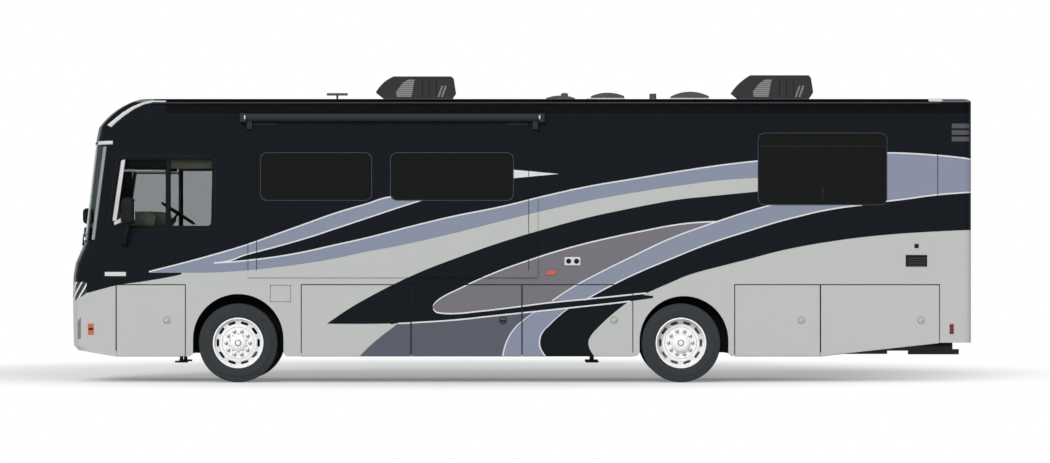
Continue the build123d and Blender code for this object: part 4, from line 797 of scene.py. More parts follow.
# Finishes that need more nodes than a plain one.
SPECIAL = {
    "privacy": privacy_glass,
    "clear": lambda: clear_glass("Laminated_Side_Glass", "#b9bbbc", 1.08),
    "windshield": lambda: clear_glass("Laminated_Tinted_Windshield", "#898f91", 1.015),
    "awning": awning_fabric,
    "seat_vinyl": seat_vinyl,
    "floor_vinyl": floor_vinyl,
    "roof_skin": roof_skin,
    "red_lens": lambda: lens("Acrylic_Red_Lens", "#8d1b1f"),
    "amber_lens": lambda: lens("Acrylic_Amber_Lens", "#c5532a"),
    # clear headlamp cover over a black bowl with bright raked fins
    "headlamp": lambda: banded("Clear_Headlamp_Cover", "#d9dcdf", "#0f1114", (0.86, 0.0, -0.50), 0.060, 0.32),
    # louvres of the air units: grey fins, the darker gaps between them painted shade
    "air_louvre": lambda: banded("Air_Louvres_Painted_Gap_Shade", "#8d9090", "#5e6160", (0.0, 0.0, 1.0), 0.024, 0.6),
}
MADE = {}


def finish(key):
    """The material of a finish, made once."""
    if key not in MADE:
        if key in SPECIAL:
            MADE[key] = SPECIAL[key]()
        else:
            MADE[key] = plain_material(*FINISHES[key])
    return MADE[key]


# ------------------------------------------------------------------------- operators
def face_centres(node):
    """Centres of a CAD node's faces, one row each."""
    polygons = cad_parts[node].data.polygons
    centres = np.empty(len(polygons) * 3)
    polygons.foreach_get("center", centres)
    return centres.reshape(-1, 3)


def dress_parts(node, main, *zones):
    """Dresses a CAD node in one finish, and the faces inside each zone (low X, high X, low Z,
    high Z) in another."""
    dress(finish(main), node)
    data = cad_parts[node].data
    centres = face_centres(node)
    index = np.zeros(len(centres), np.int32)
    for number, (key, (x0, x1, z0, z1)) in enumerate(zones, 1):
        data.materials.append(finish(key))
        inside = (centres[:, 0] > x0) & (centres[:, 0] < x1) & (centres[:, 2] > z0) & (centres[:, 2] < z1)
        index[inside] = number
    data.polygons.foreach_set("material_index", index)


class COACH_OT_paintwork(bpy.types.Operator):
    """Paint the body panels and give every other shell of the coach its finish"""
    bl_idname = "coach.paintwork"
    bl_label = "Paintwork"

    def execute(self, context):
        MADE["paint"] = coach_paint(context.scene.coach_paint_looks)
        bays = [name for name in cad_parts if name.startswith("bay_door")]
        for key, nodes in {
                "paint": ["front_cap", "left_wall", "right_wall", "rear_cap", "engine_hatch", "slide_room",
                          "entry_door", "skirt_panels", "fuel_lid", *bays],
                "roof_skin": ["roof"], "vent_dome": ["roof_vents"], "grey_asa": ["roof_air_units"],
                "black_abs": ["wheel_arch_liners", "steering_wheel", "mirrors"],
                "dash_skin": ["dashboard"],
                "chassis": ["suspension", "chassis_frame", "levelling_jacks", "step_housing"],
                "cast_iron": ["engine_block", "exhaust_pipe", "front_axle", "knuckle_left",
                              "knuckle_right", "rear_axle"],
                "bay_lining": ["basement_tubs"], "floor_vinyl": ["cabin_floor"],
                "awning": ["slide_topper", "patio_awning"], "anodised": ["entry_step"],
                "seat_vinyl": ["cab_seats"],
                "polished": ["front_left_rim", "front_right_rim", "rear_left_rims", "rear_right_rims"],
        }.items():
            dress(finish(key), *nodes)
        return {"FINISHED"}


class COACH_OT_glazing(bpy.types.Operator):
    """Glaze the coach and frame its windows"""
    bl_idname = "coach.glazing"
    bl_label = "Glazing"

    def execute(self, context):
        trim = context.scene.coach_trim_looks
        dress(finish("privacy"), "slide_windows", "entry_door_glass")
        dress(finish("windshield"), "windshield")
        dress_parts("side_windows", "clear", ("privacy", (-3.6, 6.0, 0.0, 4.0)))
        out, lap, proud, corner = trim.frame_out, trim.frame_in, trim.frame_proud, trim.window_corner
        face = SLIDE_Y + 0.002
        slide_boxes = ((-3.085, -1.765, 2.180, 2.741), (-1.533, -0.073, 2.180, 2.741))
        piece("Slide_Window_Frames", [window_frame(box, corner, face, 0.0015, 0.0, lap)
                                      for box in slide_boxes], "gasket", "slide_out")
        # grey beads round the slide windows: painted highlight along the frames' edges
        piece("Slide_Window_Beads", [bead(box, corner, face, 0.003) for box in slide_boxes],
              "bead", "slide_out")
        # the front pane's lower half slides: a bar along it and an upright between its sashes
        sashes = ((-3.070, -1.780, 2.370, 2.380), (-2.441, -2.425, 2.196, 2.371))
        piece("Slide_Window_Sashes", [plate(box, 0.002, face + 0.002, face - 0.002, 0.001)
                                      for box in sashes], "gasket", "slide_out")
        rear = (2.856, 4.387, 2.126, 2.975)
        far_boxes = (rear, (-1.500, -0.300, 2.150, 2.740))
        far = [mirrored(window_frame(box, corner, SIDE_Y, proud, out, lap)) for box in far_boxes]
        piece("Window_Frames", [window_frame(rear, corner, SIDE_Y, 0.003, 0.0, lap), *far], "gasket")
        # grey beads round the rear and far windows: painted highlight along the frames' edges
        far = [mirrored(bead(box, corner + out, SIDE_Y, 0.009, out)) for box in far_boxes]
        piece("Window_Beads", [bead(rear, corner, SIDE_Y, 0.005), *far], "bead")
        rail = plate((2.872, 4.371, 2.815, 2.823), 0.002, SIDE_Y + 0.004, SIDE_Y - 0.001, 0.001)
        catch = plate((3.620, 3.634, 2.156, 2.335), 0.006, SIDE_Y + 0.004, SIDE_Y - 0.006, 0.003)
        piece("Rear_Window_Rail", [rail, catch], "anodised")
        entry = mirrored(window_frame((-2.502, -1.922, 1.700, 2.420), 0.06, -1.289, proud, out, lap))
        piece("Entry_Glass_Frame", [entry], "gasket", "entry_door")

        # the driver's window and its twin: a wide dark frame with a bead along its outer edge
        outline = rounded_outline([(-4.914, 1.834), (-3.642, 1.834), (-3.622, 2.703), (-4.798, 2.703)], 0.09)
        frames = band(outline, inset(outline, 0.040), SIDE_Y + 0.006, SIDE_Y - 0.003, 0.15)
        line = band(inset(outline, -0.010), inset(outline, -0.001), SIDE_Y + 0.004, SIDE_Y - 0.006, 0.3)
        bar, twin_bar = (plate((front, back, 1.850, 2.690), 0.006, SIDE_Y + 0.016, SIDE_Y + 0.001, 0.003)
                         for front, back in ((-4.222, -4.160), (-4.206, -4.150)))
        piece("Cab_Window_Frames", [*both(frames), bar, mirrored(twin_bar)], "gasket")
        piece("Cab_Window_Beads", both(line), "anodised")

        # windshield: a pale strip down each side, a painted reflection of its curved edge, a clip at its
        # head, a gasket along foot and head
        strip = skin_strip([(103.3, 146.5), (91.4, 239.8)], [(106.6, 146.5), (94.6, 239.8)], 0.007)
        piece("Windshield_Edge_Reflections", both(strip), "windshield_reflection")
        clip = skin_strip([(97.6, 141.2), (112.6, 140.6)], [(97.2, 145.0), (112.8, 144.4)], 0.014)
        piece("Windshield_Head_Clips", both(clip), "white_abs")
        # the brow: a trim line along the top of the nose, its white a painted reflection
        brow = [(107.2, 124.9), (114.4, 119.0), (122.3, 112.6), (132.8, 106.2), (143.7, 101.9),
                (152.0, 100.6), (166.0, 100.6)]
        brow_low = [(111.2, 127.2), (117.2, 121.6), (124.6, 115.6), (134.4, 109.0), (144.6, 104.2),
                    (152.2, 102.8), (166.0, 102.6)]
        piece("Brow_Trim_Painted_Reflection", both(skin_strip(brow, brow_low, 0.008, 0.010, count=40)), "white_abs")
        across = np.linspace(-1.12, 1.12, 49)
        edges = [nose_line(across, np.full(49, z), 0.004) for z in (1.690, 2.862)]
        piece("Windshield_Gasket", [sweep(edge, 0.012) for edge in edges], "gasket")
        # seams where the nose and tail caps meet the walls
        nose = skin_strip([(108.6, 147.5), (99.4, 226), (98.2, 290)],
                          [(109.7, 147.5), (100.4, 226), (99.2, 290)], 0.0015)
        tail = side_plate(937.4, 938.1, 104.6, 232.0, 0.0012, 0.002, edge=0.0005)
        piece("Cap_Seams", both(nose, tail), "gasket")
        # upright joints of the slide-out room's corner trims
        joints = [side_plate(column, column + 0.6, 124.0, 270.5, 0.0012, 0.002, SLIDE_Y, 0.0005)
                  for column in (247.7, 256.2, 528.4)]
        piece("Slide_Corner_Joints", joints, "gasket", "slide_out")
        # silver cheek under the headlamp's raked lower edge, and the fog lamp's recess below it
        cheek = skin_strip([(75.2, 300.0), (81.0, 297.0), (88.4, 292.4)],
                           [(75.2, 301.6), (81.0, 301.6), (88.4, 301.6)], 0.005)
        piece("Headlamp_Cheeks", both(cheek), "panel_silver")
        recess = skin_strip([(77.3, 321.5), (77.3, 339.5)], [(80.9, 317.2), (80.9, 338.4)], 0.003)
        piece("Fog_Lamp_Surrounds", both(recess), "wheel_ring")
        return {"FINISHED"}


def bead(box, corner, y_wall, proud, out=0.0):
    """A thin bright bead round a window, out from its edge: a painted highlight along the frame."""
    x0, x1, z0, z1 = box
    outline = rounded_rectangle(x0 - out, x1 + out, z0 - out, z1 + out, corner)
    return band(inset(outline, -0.008), inset(outline, -0.001), y_wall + 0.002, y_wall - proud, 0.3)


class COACH_OT_cab(bpy.types.Operator):
    """Trim the cab: seats, shade, pillars and curtain boards"""
    bl_idname = "coach.cab"
    bl_label = "Cab"

    def execute(self, context):
        pads, stands = [], []
        for x, y in ((-3.760, -0.620), (-3.700, 0.560)):
            pads += [pad((x, y, 1.636), (0.255, 0.255, 0.072)),
                     pad((x + 0.335, y, 2.02), (0.355, 0.245, 0.062), lean=math.radians(79.5))]
            pads += [pad((x + 0.02, y + arm, 1.80), (0.19, 0.034, 0.026), channels=3.0)
                     for arm in (-0.215, 0.215)]
            stands += [turned([(1.263, 0.108), (1.275, 0.108), (1.290, 0.060), (1.540, 0.058),
                               (1.560, 0.105)], (x, y, 0.0), "z", 32)]
        seats = piece("Cab_Seat_Pads", pads, "seat_vinyl", smooth=70)
        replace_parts(seats, "cab_seats")
        piece("Cab_Seat_Stands", stands, "black_abs")
        # pale lining of the pillar beside the driver's window, with the small wedge at its foot
        pillar, wedge = (slab(drawn(corners), -1.284, -1.2895) for corners in (
            [(121.4, 159.6), (125.2, 159.6), (116.4, 220.6), (112.4, 220.6)],
            [(113.6, 221.8), (120.6, 218.2), (121.0, 222.2), (114.6, 225.2)]))
        piece("Cab_Pillar_Trim", [pillar, wedge, mirrored(pillar)], "cab_trim")
        # shade cases over both side windows, their hems, and the board beside the far windshield
        case, rear_case = (plate(drawn_box(*limits), 0.02, -1.140, -1.215, 0.012)
                           for limits in ((124.5, 166, 157.5, 169.2), (168, 213, 157.5, 168.6)))
        board = plate((-4.925, -4.775, 1.90, 2.60), 0.02, 1.215, 1.150, 0.012)
        piece("Cab_Rear_Shades", both(rear_case), "dash_skin")
        outline = [(-4.46, 1.870), (-4.205, 1.870), (-4.205, 1.995), (-4.235, 2.022), (-4.300, 2.040),
                   (-4.440, 2.044)]
        hood = slab(outline, -0.330, -0.900, 0.02)
        piece("Instrument_Hood", [hood], "dash_skin")
        piece("Cab_Shade_Cases", [*both(case), board], "shade_case")
        hem = plate(drawn_box(122.5, 167, 169.6, 171.6), 0.006, -1.250, -1.272, 0.003)
        piece("Cab_Shade_Hems", both(hem), "cab_trim")
        return {"FINISHED"}


def tyre_profile(half, radius, bore):
    """Section of a tyre, one side drawn and then mirrored: bead, bulged wall, shoulder and ribbed
    tread with four grooves in all."""
    wall = [(half * 0.80, bore), (half * 0.90, bore + 0.006), (half * 0.945, bore + 0.026),
            (half * 0.985, bore + 0.060), (half, bore + 0.078), (half * 0.995, bore + 0.096),
            (half * 0.972, bore + 0.099), (half * 0.955, bore + 0.126), (half * 0.93, radius - 0.030),
            (half * 0.925, radius - 0.022), (half * 0.90, radius - 0.010), (half * 0.86, radius - 0.004)]
    groove = 0.045
    tread = [(half * (place + groove * share), radius - depth) for place in (0.66, 0.22)
             for share, depth in ((1.0, 0.0015), (0.7, 0.014), (-0.7, 0.014), (-1.0, 0.0008))]
    side = wall + tread
    return side + [(-a, r) for a, r in reversed(side)]


class COACH_OT_tyres(bpy.types.Operator):
    """Mould the tyres with ribbed treads and raised wall rings"""
    bl_idname = "coach.tyres"
    bl_label = "Tyres"

    def execute(self, context):
        for side, name in ((-1, "left"), (1, "right")):
            for node, body, spots in (
                    ("front_" + name + "_tyre", "wheel_front_" + name, (1.125,)),
                    ("rear_" + name + "_tyres", "wheels_rear_" + name, (0.840, 1.140))):
                low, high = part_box(node)
                x, z = (low.x + high.x) / 2, (low.z + high.z) / 2
                section = tyre_profile(0.1325, (high.z - low.z) / 2 - 0.0005, 0.3026)
                shapes = [turned(section, (x, side * y, z), steps=96, looped=True) for y in spots]
                tyre = piece(node.title() + "_Moulded", shapes, "tyre_rubber", body, smooth=50)
                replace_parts(tyre, node)
        return {"FINISHED"}


class COACH_OT_wheel_trim(bpy.types.Operator):
    """Set the wheels' nut caps, rings and hub caps"""
    bl_idname = "coach.wheel_trim"
    bl_label = "Wheel Trim"

    def execute(self, context):
        turns = circle(NUTS)
        for side, name in ((-1, "left"), (1, "right")):
            for place, body, x, face, front in (
                    ("Front", "wheel_front_" + name, FRONT_AXLE_X, 1.220, True),
                    ("Rear", "wheels_rear_" + name, REAR_AXLE_X, 1.110, False)):

                def lathe(base, profile, steps=64, looped=False, turn=0.0, ring=0.0, x=x, flip=side):
                    """A form about the axle or, on a ring round it, about a nut; base is added along it."""
                    centre = (x + ring * math.cos(turn), 0.0, HUB_Z + ring * math.sin(turn))
                    shape = [(flip * (base + along), radius) for along, radius in profile]
                    return turned(shape, centre, "y", steps, looped)

                # nut caps in grey steel, darker than the white discs: partly painted shade
                nuts = [lathe(face, [(-0.002, 0.0235), (0.006, 0.0235), (0.007, 0.0202), (0.031, 0.0195),
                                     (0.0345, 0.013)], 12, turn=turn, ring=NUT_CIRCLE) for turn in turns]
                studs = [lathe(face, [(-0.002, 0.0085), (0.010, 0.0085), (0.012, 0.005)], 8,
                               turn=turn, ring=STUD_CIRCLE) for turn in turns + STUD_TURN]
                piece(place + "_Wheel_Nuts_" + name, nuts + (studs if front else []), "zinc", body)
                # a grey ring at the disc's step and an eye on the hub cap: painted shade
                groove = lathe(face, [(-0.001, 0.1945), (0.0025, 0.1930), (0.0025, 0.1900),
                                      (-0.001, 0.1885)], looped=True)
                # the hub cap's radius, where its skirt and its crown start, and a small eye on it
                radius, skirt, crown = (0.094, 1.2206, 1.2376) if front else (0.100, 1.130, 1.1763)
                eye = lathe(crown, [(0.012, 0.040), (0.0165, 0.038), (0.0165, 0.029), (0.012, 0.026)],
                            looped=True)
                piece(place + "_Wheel_Rings_" + name, [groove, eye], "wheel_ring", body)
                cap = lathe(crown, [(skirt - crown, radius + 0.004), (0.0, radius + 0.001),
                                    (0.008, radius - 0.010), (0.012, radius - 0.035), (0.0135, 0.003),
                                    (0.0, 0.003), (0.0, radius - 0.006), (skirt - crown, radius - 0.003)],
                            looped=True)
                piece(place + "_Hub_Cap_" + name, [cap], "polished", body)
        return {"FINISHED"}


class COACH_OT_mirrors(bpy.types.Operator):
    """Shape the mirrors: rounded heads with glass, on bent arms"""
    bl_idname = "coach.mirrors"
    bl_label = "Mirrors"

    def execute(self, context):
        near = [plate((-4.739, -4.577, 1.892, 2.208), 0.060, -1.3495, -1.5395, 0.045, 8),
                sweep([(-4.707, -ROOT_Y, 1.660), (-4.707, -1.335, 1.664), (-4.704, -1.390, 1.690),
                       (-4.690, -1.425, 1.760), (-4.668, -1.440, 1.840), (-4.660, -1.444, 1.910)],
                      (0.044, 0.042, 0.034, 0.026, 0.024, 0.024), 16)]
        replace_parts(piece("Mirror_Near_Head", near, "black_abs", smooth=60), "mirrors")
        arm = sweep([(-5.050, ROOT_Y, 1.600), (-5.070, 1.335, 1.602), (-5.150, 1.390, 1.612),
                     (-5.250, 1.425, 1.650), (-5.318, 1.440, 1.700), (-5.330, 1.444, 1.760)],
                    (0.044, 0.042, 0.030, 0.024, 0.022, 0.022), 16)
        turn = circle(40)
        ring = np.stack([-5.334 + 0.052 * np.cos(turn), np.full(40, 1.445), 1.798 + 0.090 * np.sin(turn)], -1)
        for name, key, shape in (
                ("Arm", "black_abs", arm),
                ("Head", "black_abs", plate((-5.394, -5.272, 1.905, 2.099), 0.050, 1.3495, 1.5395, 0.040, 8)),
                ("Ring", "chrome", sweep(ring, 0.010, 10, closed=True)),
                ("Spot_Head", "black_abs",
                 plate((-5.380, -5.288, 1.722, 1.876), 0.040, 1.3700, 1.5200, 0.030, 8))):
            piece("Mirror_Far_" + name, [shape], key, smooth=60)
        glass = [swap(plate((low_y, high_y, low, high), 0.03, back, face, 0.001), 0, 1)
                 for low_y, high_y, low, high, back, face in (
                     (1.3700, 1.5200, 1.925, 2.080, -5.276, -5.2695),
                     (1.3700, 1.5200, 1.735, 1.863, -5.292, -5.2855),
                     (-1.5150, -1.3750, 1.930, 2.170, -4.581, -4.5755))]
        piece("Mirror_Glasses", glass, "mirror_glass")
        return {"FINISHED"}


class COACH_OT_fittings(bpy.types.Operator):
    """Set the lamps, plates, latches, vents and markers along the sides"""
    bl_idname = "coach.fittings"
    bl_label = "Fittings"

    def execute(self, context):
        dress_parts("lamps", "red_lens", ("headlamp", (-6.0, 0.0, 0.0, 4.0)))
        dress_parts(
            "body_fittings", "white_abs", ("louvre_slat", (5.1, 5.5, 2.8, 3.2)),
            ("amber_lens", (0.3, 0.46, 1.27, 1.35)), ("panel_silver", (4.5, 5.0, 1.28, 1.71)),
            ("black_abs", (4.6, 4.88, 1.38, 1.53)), ("black_abs", (4.71, 4.78, 1.60, 1.66)),
            ("amber_lens", (-5.2, -5.0, 0.5, 0.8)), ("red_lens", (5.1, 5.2, 0.5, 0.8)))
        # water and power inlets on their white plate, and the fins of the tail vent
        inlets = [turned([(SIDE_Y - 0.008, 0.030), (SIDE_Y - 0.014, 0.030), (SIDE_Y - 0.0145, 0.024),
                          (SIDE_Y - 0.0110, 0.020)], (side_x(column), 0.0, side_z(261.2)), "y", 24)
                  for column in (568.6, 576.6)]
        fins = [side_plate(908.2, 925.6, row, row + 1.2, 0.0115, 0.004, edge=0.002)
                for row in (257.6, 260.0, 262.4, 264.8)]
        piece("Inlet_Caps", inlets, "black_abs")
        piece("Tail_Vent_Fins", fins, "grey_asa")
        bars = [side_plate(left, right, top, foot, 0.0105, 0.003, edge=0.0015)
                for left, right, top, foot in (
                    (949.8, 953.4, 325.8, 327.1), (949.8, 953.4, 329.0, 330.3),
                    (949.8, 953.4, 332.0, 333.3), (88.7, 93.3, 328.0, 329.9))]
        piece("Marker_Bars", bars, "black_abs")
        piece("Grab_Cup", [side_plate(103.2, 126.2, 271.0, 279.0, 0.003, 0.03)], "black_abs")
        clip = side_plate(928.5, 942.0, 98.3, 101.6, 0.012, 0.012, edge=0.006)
        strip = side_plate(944.0, 966.0, 99.9, 101.1, 0.004, 0.004, edge=0.002)
        piece("Tail_Head_Clips", both(clip), "white_abs")
        piece("Tail_Head_Strips", both(strip), "bead")

        # bay doors: a rubber seal along each door's edge, whose sill rises towards the tail, and
        # its latch, a dished ring with a pull across it
        dark = {"bay_door_left_2", "bay_door_left_3"}
        for name in [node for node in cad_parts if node.startswith("bay_door")]:
            low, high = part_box(name)
            side = -1 if low.y < 0 else 1
            x, z = high.x - LATCH_BACK, LATCH_Z
            rim = turned([(side * 1.2895, 0.047), (side * 1.2925, 0.045), (side * 1.2925, 0.039),
                          (side * 1.2895, 0.036)], (x, 0, z), "y", 32, looped=True)
            pull = plate((x - 0.030, x + 0.030, z - 0.020, z + 0.004), 0.008, side * 1.2905,
                         side * 1.2975, 0.004)
            sill = [SILL_Z + SILL_RISE * min(max((x - RISE_X) / RISE_LENGTH, 0.0), 1.0)
                    for x in (low.x, high.x)]
            corners = [(low.x, sill[0]), (high.x, sill[1]), (high.x, high.z), (low.x, high.z)]
            outline = rounded_outline(corners, 0.004)
            seal = band(outline, inset(outline, 0.0042), side * 1.287, side * 1.2936, 0.1)
            piece("Seal_" + name, [seal], "door_seal", name, smooth=None)
            piece("Latch_" + name, [rim, pull], "black_abs" if name in dark else "zinc", name)
        return {"FINISHED"}


class COACH_OT_roof_gear(bpy.types.Operator):
    """Finish the air units, roof vents and slide-out topper"""
    bl_idname = "coach.roof_gear"
    bl_label = "Roof Gear"

    def execute(self, context):
        louvres, ribs, pans = [], [], []
        for tip, stretch in ((-1.735, 1.0), (2.574, 1.015)):
            def at(column, row):
                """X and Z on an air unit of a column and row drawn on the first one's side."""
                return (tip + (column - AIR_TIP_COLUMN) * AIR_UNIT * stretch,
                        EYE_Z + (EYE_ROW - row) * AIR_UNIT)

            patch = [at(column, row) for column, row in (
                (409, 79.4), (415.5, 79.4), (412.2, 97), (397.5, 97), (396.7, 92), (402.8, 83.6))]
            rake = [[at(c, 97), at(c + 2, 97), at(c + 6, 86), at(c + 4, 86)] for c in (438.0, 441.6)]
            for way in (-1, 1):
                louvres += [slab(shape, way * 0.336, way * 0.3435, 0.002) for shape in (patch, *rake)]
                for column in (423, 430, 437):
                    (x, z1), (_, z0) = at(column, 79.8), at(column, 96.5)
                    ribs.append(plate((x - 0.004, x + 0.004, z0, z1), 0.002, way * 0.336,
                                      way * 0.3425, 0.002))
            (x0, z1), (x1, z0) = at(383.5, 99.0), at(451, 100.2)
            pans.append(plate((x0, x1, z0, z1), 0.003, -0.333, 0.333, 0.003))
        piece("Air_Unit_Louvres", louvres, "air_louvre")
        piece("Air_Unit_Ribs", ribs, "black_abs")
        pans += [plate((x0, x1, 3.409, 3.424), 0.003, -half, half, 0.003)
                 for x0, x1, half in ((0.815, 1.275, 0.212), (1.835, 2.299, 0.236))]
        piece("Roof_Pans", pans, "white_abs")

        # the topper: bright caps at the ends of its roll, brackets under it
        caps = [plate((x, x + 0.018, 3.142, 3.192), 0.006, -1.395, -1.4125, 0.004)
                for x in (side_x(244.4), side_x(538.8))]
        piece("Topper_Caps", caps, "white_abs", "slide_out")
        brackets = [side_plate(left, right, 122.4, 125.6, 0.018, 0.01, SLIDE_Y, 0.005, 0.003)
                    for left, right in ((253, 277), (507, 528))]
        piece("Topper_Brackets", brackets, "shade_case", "slide_out")
        return {"FINISHED"}


class COACH_OT_ends(bpy.types.Operator):
    """Finish the nose, tail and door side: wipers, grille, blank plates, pulls and rails"""
    bl_idname = "coach.ends"
    bl_label = "Nose and Tail"

    def execute(self, context):
        wipers = []
        for side in (-1, 1):
            y = side * np.linspace(0.10, 1.00, 17)
            z = np.linspace(1.745, 1.785, 17)
            wipers.append(sweep(nose_line(y, z, -0.014), 0.007, 8))
            y, z = side * np.linspace(0.16, 0.58, 9), np.linspace(1.660, 1.772, 9)
            wipers.append(sweep(nose_line(y, z, -0.022), np.linspace(0.011, 0.006, 9), 8))
            hub = (nose_front(side * 0.16, 1.655), side * 0.16, 1.655)
            wipers.append(turned([(-0.032, 0.014), (-0.026, 0.022), (0.010, 0.024)], hub, "x", 20))
        piece("Wipers", wipers, "black_abs")
        # fine mesh behind the grille's three slots: bars leaning both ways
        bars = []
        for low in (0.560, 0.650, 0.740):
            for start in np.arange(-0.600, 0.600, 0.030):
                for lean in (0.0, 0.030):
                    y = np.array([start + lean, start + 0.030 - lean])
                    z = np.array([low - 0.004, low + 0.054])
                    bars.append(sweep(nose_line(y, z, 0.020), 0.0025, 4))
        piece("Grille_Mesh", bars, "anodised", smooth=None)
        y = np.linspace(-0.600, 0.600, 25)
        front = nose_line(y, np.full(25, 0.675), 0.034) + np.array([[[0.0, 0.0, -0.13]], [[0.0, 0.0, 0.15]]])
        deep = front[::-1] + np.array([0.004, 0.0, 0.0])
        sheet = np.concatenate([front, deep]).transpose(1, 0, 2)
        piece("Grille_Backing", [grid(sheet, around=True, cap_start=True, cap_end=True)], "black_abs")
        for name, foot, back, face, body in (("Front_Plate", 0.840, -5.392, -5.3995, "coach"),
                                             ("Tail_Plate", 0.700, 5.394, 5.3998, "engine_hatch")):
            blank = swap(plate((-0.1525, 0.1525, foot, foot + 0.152), 0.012, back, face, 0.002), 0, 1)
            piece(name, [blank], "blank_plate", body)
        # the entry door's pull and the long hand rail behind it
        pull = mirrored(plate((-1.960, -1.874, 1.375, 1.485), 0.014, -1.300, -1.3055, 0.004))
        grip = mirrored(plate((-1.950, -1.884, 1.405, 1.435), 0.010, -1.304, -1.3110, 0.004))
        piece("Entry_Pull", [pull], "black_abs", "entry_door")
        piece("Entry_Grip", [grip], "chrome", "entry_door")
        rail_x, low, high = -1.700, 1.420, 2.080
        bend = [(ROOT_Y, 0.0), (1.325, 0.004), (1.348, 0.030), (1.352, 0.080)]
        rail = [(rail_x, y, low + z) for y, z in bend] + [(rail_x, y, high - z) for y, z in bend[::-1]]
        roses = [turned([(1.288, 0.030), (1.294, 0.030), (1.298, 0.024)], (rail_x, 0.0, z), "y", 24)
                 for z in (low, high)]
        piece("Entry_Hand_Rail", [sweep(rail, 0.013, 14), *roses], "chrome", smooth=60)
        return {"FINISHED"}


class COACH_OT_stage(bpy.types.Operator):
    """Lay the pale floor, hang the soft lamps and stand the camera"""
    bl_idname = "coach.stage"
    bl_label = "Stage"

    def execute(self, context):
        stage = context.scene.coach_stage_looks
        reach = 60.0
        corners = [[(x, y, 0.0) for x in (-reach, reach)] for y in (-reach, reach)]
        mesh_object("Studio_Floor", *grid(np.array(corners)), studio_floor())
        studio_world(context.scene, stage.fill)
        soft_lamp("Key", stage.key, stage.key_height, math.radians(-14), math.radians(26))
        soft_lamp("Top", stage.top, math.radians(88), 0.0, math.radians(120))
        camera = bpy.data.cameras.new("Studio_Camera")
        view_width = stage.picture_width * DRAWING_UNIT
        camera.lens = camera.sensor_width * stage.camera_distance / view_width
        camera.shift_y = (stage.horizon_row - stage.picture_height / 2) / stage.picture_width
        camera.clip_end = 400.0
        viewer = placed("Studio_Camera", camera)
        viewer.location = (stage.camera_x, SIDE_Y - stage.camera_distance, stage.camera_height)
        viewer.rotation_euler = (math.pi / 2, 0.0, 0.0)
        context.scene.camera = viewer
        context.scene.view_settings.view_transform = "Standard"
        return {"FINISHED"}


def soft_lamp(name, level, height, swing, spread):
    """A wide soft lamp far off: it stands at an angle above the floor on the driver's side, swung
    round towards the nose, and lights a face turned to it at the given level."""
    lamp = bpy.data.lights.new(name, "SUN")
    lamp.energy = level * math.pi
    lamp.angle = spread
    placed(name + "_Lamp", lamp).rotation_euler = (math.pi / 2 - height, 0.0, swing)


def studio_rays(tree):
    """1 for rays that show the background itself: seen directly, mirrored or through glass."""
    rays = add(tree, "LightPath").outputs
    seen = rays["Is Camera Ray"]
    for kind in ("Glossy", "Transmission"):
        seen = add(tree, "Math", [seen, rays["Is " + kind + " Ray"]], operation="MAXIMUM")
    return seen


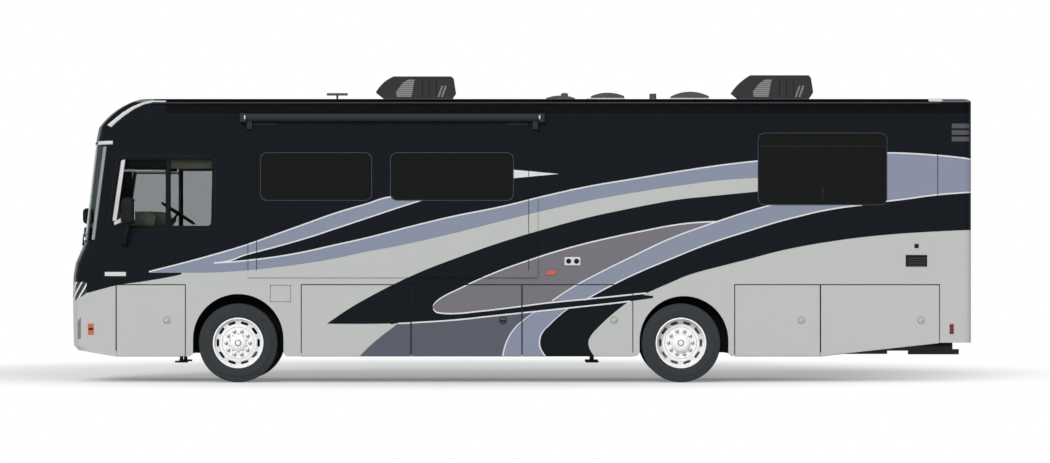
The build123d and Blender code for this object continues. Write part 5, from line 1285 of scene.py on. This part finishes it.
def studio_floor():
    """Matt white vinyl that keeps the shadow near the coach and fades into the white background:
    the fade runs with the distance from a point behind the coach, in ellipses."""
    material, tree, shader = start_material("Matt_White_Vinyl", "#fafafa", 0.9, Specular_IOR_Level=0.0)
    place = add(tree, "TexCoord").outputs["Object"]
    reach = add(tree, "Mapping", {"Vector": place, "Location": (0.10, -0.46, 0.0),
                                  "Scale": (1 / 8.2, 1 / 11.0, 1.0)})
    spread = add(tree, "VectorMath", [reach], operation="LENGTH")
    away = add(tree, "MapRange", [spread, 0.55, 1.05], interpolation_type="SMOOTHSTEP")
    # where it is seen, the shadow is a light grey: half of the floor's tone is given, half is lit
    lit = add(tree, "BsdfDiffuse", [linear("#ced0d0"), 0.5])
    even = add(tree, "Emission", [(0.2, 0.2, 0.203, 1.0), 1.0])
    near = add(tree, "AddShader", [lit, even])
    white = add(tree, "Emission", [(1.0, 1.0, 1.0, 1.0), 1.0])
    seen = add(tree, "MixShader", [away, near, white])
    output = next(node for node in tree.nodes if node.type == "OUTPUT_MATERIAL")
    add(tree, "MixShader", [studio_rays(tree), shader, seen], output.inputs["Surface"])
    return material


def studio_world(scene, fill):
    """An even white room: a plain fill on matt faces, and white where it is seen."""
    world = bpy.data.worlds.new("Studio")
    world.use_nodes = True
    tree = world.node_tree
    tree.nodes.clear()
    even = add(tree, "Background", [(1.0, 1.0, 1.0, 1.0), fill])
    seen = add(tree, "Background", [(1.0, 1.0, 1.0, 1.0), 1.0])
    final = add(tree, "MixShader", [studio_rays(tree), even, seen])
    add(tree, "OutputWorld", [final])
    scene.world = world


class COACH_PT_panel(bpy.types.Panel):
    """Buttons and sizes of the motorhome"""
    bl_idname = "COACH_PT_panel"
    bl_label = "Motorhome"
    bl_space_type = "VIEW_3D"
    bl_region_type = "UI"
    bl_category = "Motorhome"

    def draw(self, context):
        for group in (context.scene.coach_paint_looks, context.scene.coach_trim_looks,
                      context.scene.coach_stage_looks):
            for name in group.bl_rna.properties.keys():
                if name not in ("rna_type", "name"):
                    self.layout.prop(group, name)
        for operator in OPERATORS:
            self.layout.operator(operator.bl_idname)


OPERATORS = (COACH_OT_paintwork, COACH_OT_glazing, COACH_OT_cab, COACH_OT_tyres, COACH_OT_wheel_trim,
             COACH_OT_mirrors, COACH_OT_fittings, COACH_OT_roof_gear, COACH_OT_ends, COACH_OT_stage)
GROUPS = {"coach_paint_looks": PaintLooks, "coach_trim_looks": TrimLooks,
          "coach_stage_looks": StageLooks}


def register():
    for name, group in GROUPS.items():
        bpy.utils.register_class(group)
        setattr(bpy.types.Scene, name, PointerProperty(type=group))
    for kind in (*OPERATORS, COACH_PT_panel):
        bpy.utils.register_class(kind)


def unregister():
    for kind in (COACH_PT_panel, *reversed(OPERATORS)):
        bpy.utils.unregister_class(kind)
    for name, group in GROUPS.items():
        delattr(bpy.types.Scene, name)
        bpy.utils.unregister_class(group)


def main():
    register()
    for operator in OPERATORS:
        family, name = operator.bl_idname.split(".")
        getattr(getattr(bpy.ops, family), name)()
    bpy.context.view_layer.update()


if __name__ == "__main__":
    main()
